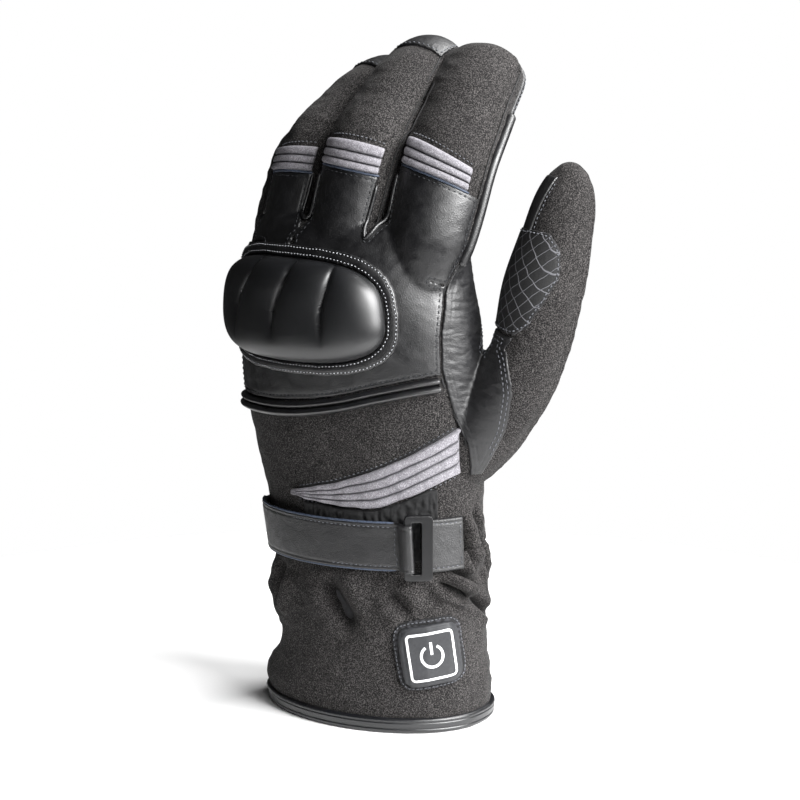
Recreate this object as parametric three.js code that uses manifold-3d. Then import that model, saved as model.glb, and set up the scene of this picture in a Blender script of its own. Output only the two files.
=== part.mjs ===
// A heated riding glove for the left hand, in its worn form, in millimetres.
// +Z runs from the cuff's hem to the fingertips, -Y faces out of the back of the hand and +X is the
// thumb's side.
// The origin is the middle of the cuff's opening, where the wearer's arm goes in.
// Every padded part is a hollow wall, and each panel, rib, strap and pad is laid over those walls as a solid
// of its own.
import * as THREE from "three";
import { mergeVertices } from "three/addons/utils/BufferGeometryUtils.js";
import Module from "manifold-3d";

const wasm = await Module();
wasm.setup();

// Driving sizes of the padded walls
const CUFF_LENGTH = 68;
const CUFF_WIDTH = 89;
const CUFF_DEPTH = 62;
const WRIST_WIDTH = 85;
const WRIST_DEPTH = 56;
const HAND_LENGTH = 116; // wrist seam to the forks between the fingers
const PALM_WIDTH = 97;
const PALM_DEPTH = 54;
const FINGER_LENGTH = 88; // middle finger, fork to tip
const FINGER_WIDTH = 29;
const FINGER_DEPTH = 25;
const THUMB_LENGTH = 140; // along its curve, from inside the palm
const THUMB_WIDTH = 27;
const THUMB_DEPTH = 27;
const WALL = 3.2; // softshell, wadding and lining together
const SEAM_GAP = 0.3;
const FINGER_ROOT = 16; // how far a finger's tube runs back into the hand before it is trimmed

// Sizes of what is laid on the walls
const LEATHER = 1.1; // thickness of a leather panel
const ON_WALL = SEAM_GAP; // a panel's underside above the wall
const ON_LEATHER = ON_WALL + LEATHER + SEAM_GAP; // the underside of what is sewn onto a leather panel
const RIB_HEIGHT = 2.4; // a rib's crown above the wall
const RIB_FLOOR = 1.3; // the groove between two ribs, above the wall
const RIB_PITCH = 2.7;
const RIB_SHARE = 0.78; // of its pitch that a rib fills
const FINGER_RIBS = 3;
const WRIST_RIBS = 4;
const GUARD_TURN = -13; // degrees round the hand to the guard's middle
const GUARD_SPAN = 98; // degrees it covers
const GUARD_HEIGHT = 38;
const GUARD_AT = 0.767; // its middle, as a share of the way from the wrist seam to the forks
const GUARD_RISE = 9;
const GUARD_SQUARENESS = 2.9;
const GUARD_GROOVE = 0.3; // depth of the grooves between its swells, as a share of its rise
const BORDER_WIDTH = 5;
const BORDER_THICKNESS = 1.4;
const PIPING_WIDTH = 5.6;
const PIPING_HEIGHT = 3.4;
const STRAP_WIDTH = 17.8;
const STRAP_THICKNESS = 2;
const STRAP_LIFT = 1.6; // its underside above the wall
const STRAP_START = -74; // degrees round the wrist
const TAB_START = -96;
const ANCHOR_END = 76;
const STRAP_RISE = 1.5; // its middle above the wrist seam
const STRAP_SLANT = 2; // how far its loop end is above its other end
const LOOP_HEIGHT = 24.6;
const LOOP_WIDTH = 10.6;
const LOOP_BAR = 2.6;
const LOOP_END_BAR = 4.2;
const LOOP_THICKNESS = 2.2;
const LOOP_TURN = 47.5;
const LOOP_CORNER = 1.4;
const LOOP_LIFT = 1.8; // above the strap
const ELASTIC_THICKNESS = 0.9;
const ELASTIC_TUCK = 3; // how far it runs under the strap, below the wrist seam
const ELASTIC_CLEARANCE = 0.7; // below the wrist ribs
const SWITCH_SIZE = 23;
const SWITCH_CORNER = 5;
const SWITCH_HEIGHT = 3; // its crown above its surround
const SWITCH_AT = 0.449; // its middle, as a share of the way from the hem to the wrist seam
const SWITCH_FACING = 45; // degrees its face is turned towards the thumb's side
const SWITCH_ACROSS = 13.4; // its middle, across the direction it faces
const SWITCH_TILT = 8;
const SURROUND_MARGIN = 1.8;
const SURROUND_THICKNESS = 1.1;
const HEM_HEIGHT = 6;
const HEM_THICKNESS = 1.4;

// Numbers of sides and rings in the faceted walls
const HAND_SIDES = 24;
const HAND_STEPS = 8;
const CUFF_SIDES = 28;
const CUFF_STEPS = 11;
const FACET_LOSS = 0.09; // facets that differ by less than this are joined
const FINGER_SIDES = 12;
const FINGER_STEPS = 7;

const degrees = THREE.MathUtils.degToRad;
const up = new THREE.Vector3(0, 0, 1);

// Reads one column of a table at a share along it, on a smooth curve through the rows
function column(table, name, share) {
  const last = table.length - 1;
  let i = 0;
  while (i < last - 1 && share > table[i + 1].at) i++;
  const row = (k) => table[Math.min(Math.max(k, 0), last)];
  const here = row(i);
  const next = row(i + 1);
  const t = THREE.MathUtils.clamp((share - here.at) / (next.at - here.at), 0, 1);
  const span = next.at - here.at;
  const slope = (a, b) => (b.at > a.at ? (b[name] - a[name]) / (b.at - a.at) : 0);
  const m0 = slope(row(i - 1), next) * span;
  const m1 = slope(here, row(i + 2)) * span;
  const t2 = t * t;
  const t3 = t2 * t;
  const level = (2 * t3 - 3 * t2 + 1) * here[name] + (3 * t2 - 2 * t3) * next[name];
  return level + (t3 - 2 * t2 + t) * m0 + (t3 - t2) * m1;
}

// Turns a closed three.js geometry into a solid that can be joined and cut
function solidOf(geometry) {
  const bare = geometry.index ? geometry.toNonIndexed() : geometry.clone();
  for (const name of Object.keys(bare.attributes)) if (name !== "position") bare.deleteAttribute(name);
  const merged = mergeVertices(bare, 1e-4);
  return new wasm.Manifold(
    new wasm.Mesh({
      numProp: 3,
      vertProperties: new Float32Array(merged.attributes.position.array),
      triVerts: new Uint32Array(merged.index.array),
    }),
  );
}

// Skins a list of rings of points, first ring to last, and closes both ends
function skin(rings) {
  const sides = rings[0].length;
  const points = rings.flat();
  const faces = [];
  const corner = (ring, side) => ring * sides + (side % sides);
  for (let r = 0; r + 1 < rings.length; r++)
    for (let s = 0; s < sides; s++) {
      faces.push(corner(r, s), corner(r, s + 1), corner(r + 1, s + 1));
      faces.push(corner(r, s), corner(r + 1, s + 1), corner(r + 1, s));
    }
  for (const [ring, order] of [
    [0, 1],
    [rings.length - 1, -1],
  ]) {
    const middle = points.length;
    const centre = new THREE.Vector3();
    for (const p of rings[ring]) centre.addScaledVector(p, 1 / sides);
    points.push(centre);
    for (let s = 0; s < sides; s++) {
      const pair = [corner(ring, s), corner(ring, s + 1)];
      faces.push(middle, pair[order > 0 ? 1 : 0], pair[order > 0 ? 0 : 1]);
    }
  }
  const geometry = new THREE.BufferGeometry().setFromPoints(points);
  geometry.setIndex(faces);
  const solid = solidOf(geometry);
  if (solid.volume() > 0) return solid;
  geometry.setIndex(faces.reverse());
  return solidOf(geometry);
}

// An outline pushed straight through the glove, as seen by someone facing it from one side.
// facing is 0 for the back of the hand and 90 for the thumb's side, near and far are distances from the
// middle
function prism(outline, facing, near, far) {
  const shape = new THREE.Shape(outline.map(([across, height]) => new THREE.Vector2(across, height)));
  const geometry = new THREE.ExtrudeGeometry(shape, { depth: near - far, bevelEnabled: false });
  geometry.rotateX(Math.PI / 2).translate(0, -far, 0).rotateZ(degrees(facing));
  return solidOf(geometry);
}

const evenRows = (from, to, count, row) =>
  Array.from({ length: count + 1 }, (_, i) => row(from + ((to - from) * i) / count));

const joined = (solids) => solids.reduce((all, one) => all.add(one));

// Trimming can leave slivers beside a piece: this keeps the piece itself
const larger = (one, other) => (one.volume() > other.volume() ? one : other);
const wholePiece = (solid) => solid.decompose().reduce(larger);

// The wrist's size as shares of the palm's
const WRIST_SPAN = WRIST_WIDTH / PALM_WIDTH;
const WRIST_THROUGH = WRIST_DEPTH / PALM_DEPTH;

// The hand: sections from the wrist seam to the forks, as shares of the palm's width and depth
const HAND = [
  { at: 0, width: WRIST_SPAN, back: WRIST_THROUGH, palm: WRIST_THROUGH, side: -0.01, rear: 0 },
  { at: 0.16, width: 0.94, back: 1.04, palm: 1.04, side: -0.03, rear: -0.005 },
  { at: 0.42, width: 1.04, back: 1.08, palm: 1, side: -0.06, rear: -0.02 },
  { at: 0.72, width: 1.03, back: 1.1, palm: 0.86, side: -0.07, rear: -0.045 },
  { at: 0.9, width: 0.97, back: 1.08, palm: 0.7, side: -0.08, rear: -0.03 },
  { at: 1, width: 0.93, back: 1.02, palm: 0.62, side: -0.085, rear: 0.005 },
];

// The cuff: sections from the hem to the wrist seam. wrist says how far each has turned into the wrist's own
const CUFF = [
  { at: 0, girth: 1, wrist: 0 },
  { at: 0.2, girth: 1.02, wrist: 0 },
  { at: 0.45, girth: 0.985, wrist: 0.15 },
  { at: 0.75, girth: 1.02, wrist: 0.7 },
  { at: 1, girth: 1, wrist: 1 },
];

// Folds of the cuff: where round it and how far up, their half sizes, slant and depth as a share of the
// cuff's depth
const FOLDS = [
  { turn: 70, at: 0.72, reach: 30, spread: 0.06, slant: -0.35, depth: -0.04 },
  { turn: 62, at: 0.84, reach: 24, spread: 0.05, slant: -0.2, depth: 0.035 },
  { turn: 100, at: 0.86, reach: 12, spread: 0.2, slant: 0, depth: -0.04 },
  { turn: 12, at: 0.62, reach: 22, spread: 0.1, slant: 0.3, depth: -0.03 },
  { turn: -70, at: 0.37, reach: 36, spread: 0.11, slant: 0.1, depth: -0.045 },
  { turn: -70, at: 0.6, reach: 30, spread: 0.12, slant: 0.1, depth: 0.03 },
  { turn: -70, at: 0.14, reach: 36, spread: 0.1, slant: 0, depth: 0.055 },
  { turn: 170, at: 0.6, reach: 40, spread: 0.1, slant: 0.1, depth: -0.035 },
  { turn: -140, at: 0.35, reach: 30, spread: 0.09, slant: -0.2, depth: -0.03 },
];

const PALM_SQUARENESS = 2.5; // the palm's half of a section is fuller than an ellipse

// One ring round the hand or cuff, grown outwards by grow
function sectionRing(section, sides, z, grow, bulge = () => 0) {
  const ring = [];
  for (let s = 0; s < sides; s++) {
    const turn = (2 * Math.PI * s) / sides;
    const sin = Math.sin(turn);
    const cos = Math.cos(turn);
    const power = cos >= 0 ? 1 : 2 / PALM_SQUARENESS;
    const depth = cos >= 0 ? section.back : section.palm;
    const out = grow + bulge(turn);
    const x = section.x + (section.halfWidth + out) * Math.sign(sin) * Math.abs(sin) ** power;
    const y = section.y - (depth + out) * Math.sign(cos) * Math.abs(cos) ** power;
    ring.push(new THREE.Vector3(x, y, z));
  }
  return ring;
}

function handSection(share) {
  return {
    x: column(HAND, "side", share) * PALM_WIDTH,
    y: column(HAND, "rear", share) * PALM_DEPTH,
    halfWidth: (column(HAND, "width", share) * PALM_WIDTH) / 2,
    back: (column(HAND, "back", share) * PALM_DEPTH) / 2,
    palm: (column(HAND, "palm", share) * PALM_DEPTH) / 2,
  };
}

const TOP_ROUND = 8; // how soon the hand's wall closes over above the forks

// The hand's solid form, grown outwards by grow, with its lower end at foot
function handForm(grow, foot) {
  const footShare = Math.max(0, foot - CUFF_LENGTH) / HAND_LENGTH;
  const rings = [sectionRing(handSection(footShare), HAND_SIDES, foot, grow)];
  for (let i = foot < CUFF_LENGTH - 0.5 ? 0 : 1; i <= HAND_STEPS; i++) {
    const height = CUFF_LENGTH + (HAND_LENGTH * i) / HAND_STEPS;
    rings.push(sectionRing(handSection(i / HAND_STEPS), HAND_SIDES, height, grow));
  }
  const top = handSection(1);
  for (const lean of [35, 62, 85]) {
    const rise = Math.sin(degrees(lean)) * (TOP_ROUND + grow);
    const draw = (1 - Math.cos(degrees(lean))) * top.palm;
    rings.push(sectionRing(top, HAND_SIDES, CUFF_LENGTH + HAND_LENGTH + rise, grow - draw));
  }
  return skin(rings);
}

const foldFade = (share) => Math.sin(Math.PI * Math.min(share, 0.97)) ** 0.5;

// How far the folds lift the cuff's wall at one place
function foldLift(turn, share) {
  let lift = 0;
  for (const fold of FOLDS) {
    let round = THREE.MathUtils.radToDeg(turn) - fold.turn;
    round = ((((round + 180) % 360) + 360) % 360) - 180;
    const along = share - fold.at - (fold.slant * round) / 100;
    lift += fold.depth * CUFF_DEPTH * Math.exp(-((round / fold.reach) ** 2) - (along / fold.spread) ** 2);
  }
  return lift;
}

function cuffSection(share) {
  const girth = column(CUFF, "girth", share);
  const wrist = column(CUFF, "wrist", share);
  const blend = (hem, narrow) => THREE.MathUtils.lerp(hem, narrow, wrist) * girth;
  return {
    x: 0,
    y: 0,
    halfWidth: blend(CUFF_WIDTH, WRIST_WIDTH) / 2,
    back: blend(CUFF_DEPTH, WRIST_DEPTH) / 2,
    palm: blend(CUFF_DEPTH, WRIST_DEPTH) / 2,
  };
}

// The cuff's solid form between two heights, grown outwards by grow
function cuffForm(grow, foot, head) {
  const inside = (z) => z > foot + 0.5 && z < head - 0.5;
  const stops = evenRows(0, CUFF_LENGTH, CUFF_STEPS, (z) => z).filter(inside);
  const rings = [foot, ...stops, head].map((z) => {
    const share = THREE.MathUtils.clamp(z / CUFF_LENGTH, 0, 1);
    const lift = (turn) => foldLift(turn, share) * foldFade(share);
    return sectionRing(cuffSection(share), CUFF_SIDES, z, grow, lift);
  });
  return skin(rings);
}

// The fingers: where each starts and its size.
// side and rear are shares of the palm's width and depth, length, width and depth of the middle finger's
const FINGERS = [
  { name: "index", side: 0.297, rear: -0.14, length: 0.91, width: 1.13, depth: 1.1 },
  { name: "middle", side: -0.03, rear: -0.28, length: 1.02, width: 1, depth: 1 },
  { name: "ring", side: -0.305, rear: -0.18, length: 0.96, width: 0.94, depth: 0.97 },
  { name: "little", side: -0.48, rear: 0.05, length: 0.78, width: 0.84, depth: 0.86 },
];
// How each finger is turned and leans sideways, and how far it leans forwards after each joint, in degrees
const POSES = {
  index: { turn: 16, spread: 10, first: 14, second: 36, third: 50 },
  middle: { turn: 3, spread: 11, first: 9, second: 44, third: 64 },
  ring: { turn: -11, spread: 4, first: 15, second: 52, third: 70 },
  little: { turn: -34, spread: -2, first: 18, second: 46, third: 64 },
};

// How a finger's width and depth change from the fork to the tip
const FINGER_TAPER = [
  { at: -0.2, width: 0.7, depth: 0.62 },
  { at: 0, width: 0.96, depth: 0.98 },
  { at: 0.36, width: 1.02, depth: 1 },
  { at: 0.6, width: 0.99, depth: 0.94 },
  { at: 0.8, width: 0.96, depth: 0.92 },
  { at: 1, width: 0.9, depth: 0.86 },
];
const JOINTS_AT = [0.38, 0.7]; // the second and third joints along the finger
const JOINT_SOFTNESS = 0.1;
const TIP_ROUND = 0.16; // the rounded end, as a share of the finger's length
const TIP_BLUNTNESS = 2.4;
const TIP_RINGS = [40, 68, 85]; // degrees round the rounded end

// A tube's centre line, as a function of the distance along it, with its width and back directions
function fingerPath(finger) {
  const length = finger.length * FINGER_LENGTH;
  const pose = POSES[finger.name];
  const turn = degrees(pose.turn);
  const across = new THREE.Vector3(Math.cos(turn), Math.sin(turn), 0);
  const inward = new THREE.Vector3(-Math.sin(turn), Math.cos(turn), 0);
  const straight = up.clone().addScaledVector(across, Math.tan(degrees(pose.spread))).normalize();
  const width = across.clone().addScaledVector(straight, -across.dot(straight)).normalize();
  const fork = CUFF_LENGTH + HAND_LENGTH;
  const start = new THREE.Vector3(finger.side * PALM_WIDTH, finger.rear * PALM_DEPTH, fork);
  const bendAt = (share) => {
    const step = (joint) => 1 / (1 + Math.exp(-((share - joint) / JOINT_SOFTNESS) * 4));
    const { first, second, third } = pose;
    return degrees(first + (second - first) * step(JOINTS_AT[0]) + (third - second) * step(JOINTS_AT[1]));
  };
  return (distance) => {
    const point = start.clone();
    const pieces = 24;
    for (let i = 0; i < pieces; i++) {
      const bend = bendAt(((i + 0.5) * distance) / pieces / length);
      point.addScaledVector(straight, (Math.cos(bend) * distance) / pieces);
      point.addScaledVector(inward, (Math.sin(bend) * distance) / pieces);
    }
    const bend = bendAt(distance / length);
    const along = straight.clone().multiplyScalar(Math.cos(bend)).addScaledVector(inward, Math.sin(bend));
    return { point, along, width, back: width.clone().cross(along).normalize() };
  };
}

// The thumb's middle line from inside the palm to its tip, as shares of the palm's width, its depth and the
// thumb's length
const THUMB_LINE = [
  { at: 0, side: 0.186, rear: 0, rise: 0.014 },
  { at: 0.2, side: 0.392, rear: 0.11, rise: 0.143 },
  { at: 0.36, side: 0.526, rear: 0.185, rise: 0.267 },
  { at: 0.5, side: 0.622, rear: 0.222, rise: 0.391 },
  { at: 0.66, side: 0.668, rear: 0.26, rise: 0.551 },
  { at: 0.8, side: 0.704, rear: 0.315, rise: 0.681 },
  { at: 0.9, side: 0.723, rear: 0.37, rise: 0.785 },
  { at: 1, side: 0.747, rear: 0.407, rise: 0.881 },
];
const THUMB_TAPER = [
  { at: 0, width: 0.9, depth: 0.95 },
  { at: 0.2, width: 1.12, depth: 1.15 },
  { at: 0.36, width: 1.08, depth: 1.1 },
  { at: 0.5, width: 1, depth: 1.02 },
  { at: 0.66, width: 1.04, depth: 1 },
  { at: 0.8, width: 0.92, depth: 0.92 },
  { at: 0.9, width: 0.8, depth: 0.82 },
  { at: 1, width: 0.66, depth: 0.7 },
];
const THUMB_FOOT = 0.172; // the thumb starts this share of the hand's length above the wrist seam
const THUMB_FACING = 40; // degrees that its back is turned towards the thumb's side

function thumbPoint(share) {
  return new THREE.Vector3(
    column(THUMB_LINE, "side", share) * PALM_WIDTH,
    column(THUMB_LINE, "rear", share) * PALM_DEPTH,
    CUFF_LENGTH + THUMB_FOOT * HAND_LENGTH + column(THUMB_LINE, "rise", share) * THUMB_LENGTH,
  );
}

function thumbPath(distance) {
  const share = distance / THUMB_LENGTH;
  const step = 0.01;
  const along = thumbPoint(Math.min(share + step, 1)).sub(thumbPoint(Math.min(share, 1) - step)).normalize();
  const facing = degrees(THUMB_FACING);
  const across = new THREE.Vector3(Math.cos(facing), Math.sin(facing), 0);
  const width = across.addScaledVector(along, -across.dot(along)).normalize();
  const point = thumbPoint(Math.min(share, 1));
  if (share > 1) point.addScaledVector(along, (share - 1) * THUMB_LENGTH);
  return { point, along, width, back: width.clone().cross(along).normalize() };
}

// Everything that a tube's functions need to know of one finger or the thumb
const STALLS = FINGERS.map((finger) => ({
  name: finger.name,
  path: fingerPath(finger),
  length: finger.length * FINGER_LENGTH,
  foot: -FINGER_ROOT,
  taper: FINGER_TAPER,
  width: finger.width * FINGER_WIDTH,
  depth: finger.depth * FINGER_DEPTH,
  sides: FINGER_SIDES,
  steps: FINGER_STEPS,
}));
STALLS.push({
  name: "thumb",
  path: thumbPath,
  length: THUMB_LENGTH,
  foot: 0,
  taper: THUMB_TAPER,
  width: THUMB_WIDTH,
  depth: THUMB_DEPTH,
  sides: FINGER_SIDES + 4,
  steps: FINGER_STEPS + 1,
});
const stallNamed = (name) => STALLS.find((stall) => stall.name === name);

// A point on a stall: turn is 0 at its back and 90 degrees on the thumb's side, out is the height above its
// skin
function stallPoint(stall, distance, turn, out) {
  const round = TIP_ROUND * stall.length;
  const past = THREE.MathUtils.clamp((distance - stall.length + round) / (round + out), 0, 1);
  const shrink = (1 - past ** TIP_BLUNTNESS) ** (1 / TIP_BLUNTNESS);
  const share = distance / stall.length;
  const { point, width, back } = stall.path(distance);
  const across = ((column(stall.taper, "width", share) * stall.width) / 2 + out) * shrink;
  const through = ((column(stall.taper, "depth", share) * stall.depth) / 2 + out) * shrink;
  point.addScaledVector(width, across * Math.sin(turn));
  return point.addScaledVector(back, through * Math.cos(turn));
}

// Distances along a stall at which it has a ring, the same for every layer, so that layers fit each other
function stallStops(stall, from, out) {
  const round = TIP_ROUND * stall.length;
  const straight = stall.length - round;
  const stops = [from];
  for (let i = 1; i <= stall.steps; i++) {
    const stop = stall.foot + ((straight - stall.foot) * i) / stall.steps;
    if (stop > from + 0.5) stops.push(stop);
  }
  for (const lean of TIP_RINGS) {
    const stop = straight + (round + out) * Math.sin(degrees(lean));
    if (stop > from + 0.5) stops.push(stop);
  }
  return stops;
}

// A stall's solid form from a distance along it to its tip, grown outwards by grow
function stallForm(stall, grow, from = stall.foot) {
  return skin(
    stallStops(stall, from, grow).map((distance) => {
      const ring = [];
      for (let s = 0; s < stall.sides; s++)
        ring.push(stallPoint(stall, distance, (2 * Math.PI * s) / stall.sides, grow));
      return ring;
    }),
  );
}

// A block of space over part of a stall, for cutting a layer to its outline.
// Each row gives a distance along the stall and the turns that the block covers there. With a slant, the
// distance grows by that much over the width of a finger's back
const BACK_SPAN = 100; // degrees
function stallBlock(stall, rows, reach, slant = 0) {
  const columns = 8;
  return skin(
    rows.map(({ distance, from, to }) => {
      const turns = evenRows(from, to, columns, (turn) => turn);
      const place = (turn, out) => {
        const along = distance + (slant * (turn + BACK_SPAN / 2)) / BACK_SPAN;
        return stallPoint(stall, along, degrees(turn), out);
      };
      const outer = turns.map((turn) => place(turn, reach));
      const inner = turns.map((turn) => place(turn, -reach));
      return [...outer, ...inner.reverse()];
    }),
  );
}

// The whole glove's outside as one solid, grown by a distance, kept for reuse
const grownForms = new Map();
function grown(grow) {
  if (!grownForms.has(grow))
    grownForms.set(
      grow,
      joined([
        handForm(grow, CUFF_LENGTH - 1),
        cuffForm(grow, -grow, CUFF_LENGTH + 1),
        ...STALLS.map((stall) => stallForm(stall, grow)),
      ]),
    );
  return grownForms.get(grow);
}
const layer = (from, to) => grown(to).subtract(grown(from));

const FAR = 120; // beyond the glove in any direction

// A point of the wall round the hand, wrist or cuff, raised outwards
function roundPoint(turn, z, out) {
  const share = THREE.MathUtils.clamp(z / CUFF_LENGTH, 0, 1);
  const section = z > CUFF_LENGTH ? handSection((z - CUFF_LENGTH) / HAND_LENGTH) : cuffSection(share);
  const lift = z > CUFF_LENGTH ? 0 : foldLift(degrees(turn), share) * foldFade(share);
  const sin = Math.sin(degrees(turn));
  const cos = Math.cos(degrees(turn));
  return new THREE.Vector3(
    section.x + (section.halfWidth + out + lift) * sin,
    section.y - (section.back + out + lift) * cos,
    z,
  );
}

// A band laid round the wall: each row gives a turn and the band's two edges there, profile its outline.
// profile is a list of pairs: a share of the way from the lower edge to the upper one, and a height above
// the wall
function band(rows, profile) {
  return skin(
    rows.map(({ turn, low, high }) =>
      profile.map(([share, out]) => roundPoint(turn, THREE.MathUtils.lerp(low, high, share), out)),
    ),
  );
}

// The padded walls
function buildWalls() {
  const handOuter = handForm(0, CUFF_LENGTH + SEAM_GAP);
  const fingerHollows = STALLS.map((stall) => stallForm(stall, -WALL));
  const hollows = joined([handForm(-WALL, CUFF_LENGTH - 5), ...fingerHollows]);
  const walls = { hand_shell: handOuter.subtract(hollows) };
  const handSpace = handForm(SEAM_GAP, CUFF_LENGTH - 5);
  let neighbour = null;
  for (const stall of STALLS) {
    let wall = stallForm(stall, 0).subtract(stallForm(stall, -WALL, stall.foot - 10)).subtract(handSpace);
    if (neighbour) wall = wall.subtract(stallForm(neighbour, SEAM_GAP));
    walls[`${stall.name}_stall`] = wall;
    neighbour = stall.name === "little" ? null : stall;
  }
  const cuffOuter = cuffForm(0, HEM_THICKNESS + SEAM_GAP, CUFF_LENGTH);
  walls.cuff = cuffOuter.subtract(cuffForm(-WALL, -5, CUFF_LENGTH + 5));
  return walls;
}

// A place on the hand seen from one side: across is a share of the palm's width, from the middle, and
// rise a share of the way from the wrist seam to the forks
const onHand = ({ across, rise }) => [across * PALM_WIDTH, CUFF_LENGTH + rise * HAND_LENGTH];

// The seam down the side of the back of the hand, and the thumb's seam, seen facing the side panel
const SIDE_FACING = 60;
const THUMB_FREE = 0.536; // along the thumb, where it leaves the hand
const THUMB_CLEAR = 5; // the side panel stays this far from the free part of the thumb
const BACK_SEAM = [
  { across: 0.237, rise: 1.086 },
  { across: 0.165, rise: 0.974 },
  { across: 0.093, rise: 0.836 },
  { across: 0.067, rise: 0.707 },
  { across: 0.067, rise: 0.595 },
  { across: 0.113, rise: 0.466 },
  { across: 0.16, rise: 0.371 },
  { across: 0.191, rise: 0.25 },
];
const THUMB_SEAM = [
  { across: 0.242, rise: 0.25 },
  { across: 0.292, rise: 0.397 },
  { across: 0.299, rise: 0.517 },
  { across: 0.289, rise: 0.586 },
  { across: 0.278, rise: 0.664 },
  { across: 0.32, rise: 0.733 },
  { across: 0.381, rise: 0.793 },
  { across: 0.402, rise: 0.931 },
  { across: 0.371, rise: 1.086 },
];
function sideSpace(margin) {
  const moved = (seam, shift) => seam.map(onHand).map(([x, z]) => [x + shift, z]);
  const outline = [...moved(BACK_SEAM, -margin), ...moved(THUMB_SEAM, margin)];
  const free = THUMB_FREE * THUMB_LENGTH - margin;
  const thumbSpace = stallForm(stallNamed("thumb"), THUMB_CLEAR - margin, free);
  return prism(outline, SIDE_FACING, FAR, 0).subtract(thumbSpace);
}

// The piping across the back: how far up the hand its middle is at each turn round it
const PIPING_LINE = [
  { at: -92, rise: 0.422 },
  { at: -32, rise: 0.431 },
  { at: -10, rise: 0.443 },
  { at: 11, rise: 0.472 },
  { at: 30, rise: 0.509 },
  { at: 50, rise: 0.538 },
  { at: 72, rise: 0.556 },
];
const pipingHeight = (turn) => CUFF_LENGTH + column(PIPING_LINE, "rise", turn) * HAND_LENGTH;
// Half outlines of its two rolls, as shares of its width and height
const PIPING_PROFILE = [
  [0, 0.1],
  [0, 0.6],
  [0.13, 0.92],
  [0.3, 1],
  [0.44, 0.86],
  [0.5, 0.62],
  [0.56, 0.86],
  [0.7, 1],
  [0.87, 0.92],
  [1, 0.6],
  [1, 0.1],
];
function pipingSpace(margin) {
  const half = PIPING_WIDTH / 2 + margin;
  const rows = evenRows(-92, 70, 16, (turn) => ({
    turn,
    low: pipingHeight(turn) - half,
    high: pipingHeight(turn) + half,
  }));
  const height = (rise) => rise * PIPING_HEIGHT + margin * Math.sign(rise - 0.5);
  return band(
    rows,
    PIPING_PROFILE.map(([share, rise]) => [share, height(rise)]),
  );
}

// The guard's outline widened by a margin, and its height above the leather
const GUARD_SIDES = 28;
const guardMiddle = CUFF_LENGTH + GUARD_AT * HAND_LENGTH;
function guardPoint(angle, reach, margin, out) {
  const power = 2 / GUARD_SQUARENESS;
  const cos = Math.cos(angle);
  const sin = Math.sin(angle);
  const arc = (PALM_WIDTH + PALM_DEPTH) / 4;
  const halfTurn = GUARD_SPAN / 2 + THREE.MathUtils.radToDeg(margin / arc);
  const turn = GUARD_TURN + reach * halfTurn * Math.sign(cos) * Math.abs(cos) ** power;
  const z = guardMiddle + reach * (GUARD_HEIGHT / 2 + margin) * Math.sign(sin) * Math.abs(sin) ** power;
  return { turn, z, point: roundPoint(turn, z, out) };
}
// Where one swell of the guard meets the next, in degrees round the hand
const SWELL_EDGES = [-62, -34, -11.5, 10, 36];
function swellLift(turn, z) {
  let k = 0;
  while (k < SWELL_EDGES.length - 2 && turn > SWELL_EDGES[k + 1]) k++;
  const share = THREE.MathUtils.clamp((turn - SWELL_EDGES[k]) / (SWELL_EDGES[k + 1] - SWELL_EDGES[k]), 0, 1);
  const up = (z - guardMiddle) / GUARD_HEIGHT;
  const fade = THREE.MathUtils.smoothstep(up, -0.35, 0.2);
  return 1 - GUARD_GROOVE * fade * (1 - Math.sin(Math.PI * share) ** 0.6);
}
function guardForm(margin) {
  const rings = [];
  for (const [reach, rise] of [
    [0.3, 0],
    [1, 0],
    [1, 0.3],
    [0.95, 0.58],
    [0.85, 0.8],
    [0.68, 0.94],
    [0.45, 1],
    [0.2, 1],
  ]) {
    const ring = [];
    for (let s = 0; s < GUARD_SIDES; s++) {
      const angle = (2 * Math.PI * s) / GUARD_SIDES;
      const { turn, z } = guardPoint(angle, reach, 0, 0);
      const lift = rise > 0.5 ? swellLift(turn, z) : 1;
      ring.push(guardPoint(angle, reach, margin, rise * lift * (GUARD_RISE + ON_LEATHER)).point);
    }
    rings.push(ring);
  }
  return skin(rings);
}
function guardSpace(margin) {
  const outline = [];
  for (let s = 0; s < GUARD_SIDES; s++) {
    const { point } = guardPoint((2 * Math.PI * s) / GUARD_SIDES, 1, margin, ON_LEATHER);
    outline.push([point.x, point.z]);
  }
  return prism(outline, 0, FAR, 0);
}

// Leather over the knuckles, reaching up the backs of the fingers: the turns it covers on each, where it
// ends above the fork, as a share of the middle finger's length, and how far that edge slants
const TONGUES = [
  { name: "index", from: -58, to: 70, end: 0.268, slant: -0.0625 },
  { name: "middle", from: -50, to: 52, end: 0.268, slant: 0.011 },
  { name: "ring", from: -50, to: 46, end: 0.211, slant: 0.035 },
  { name: "little", from: -64, to: 40, end: 0.102, slant: 0 },
];
const TONGUE_ROOT = -8; // the tongues start this far back from the forks
const TONGUE_FOOT = 7; // up to here the panel is whole between the fingers
const TONGUE_REACH = 3;
const FOOT_REACH = 9;
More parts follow.
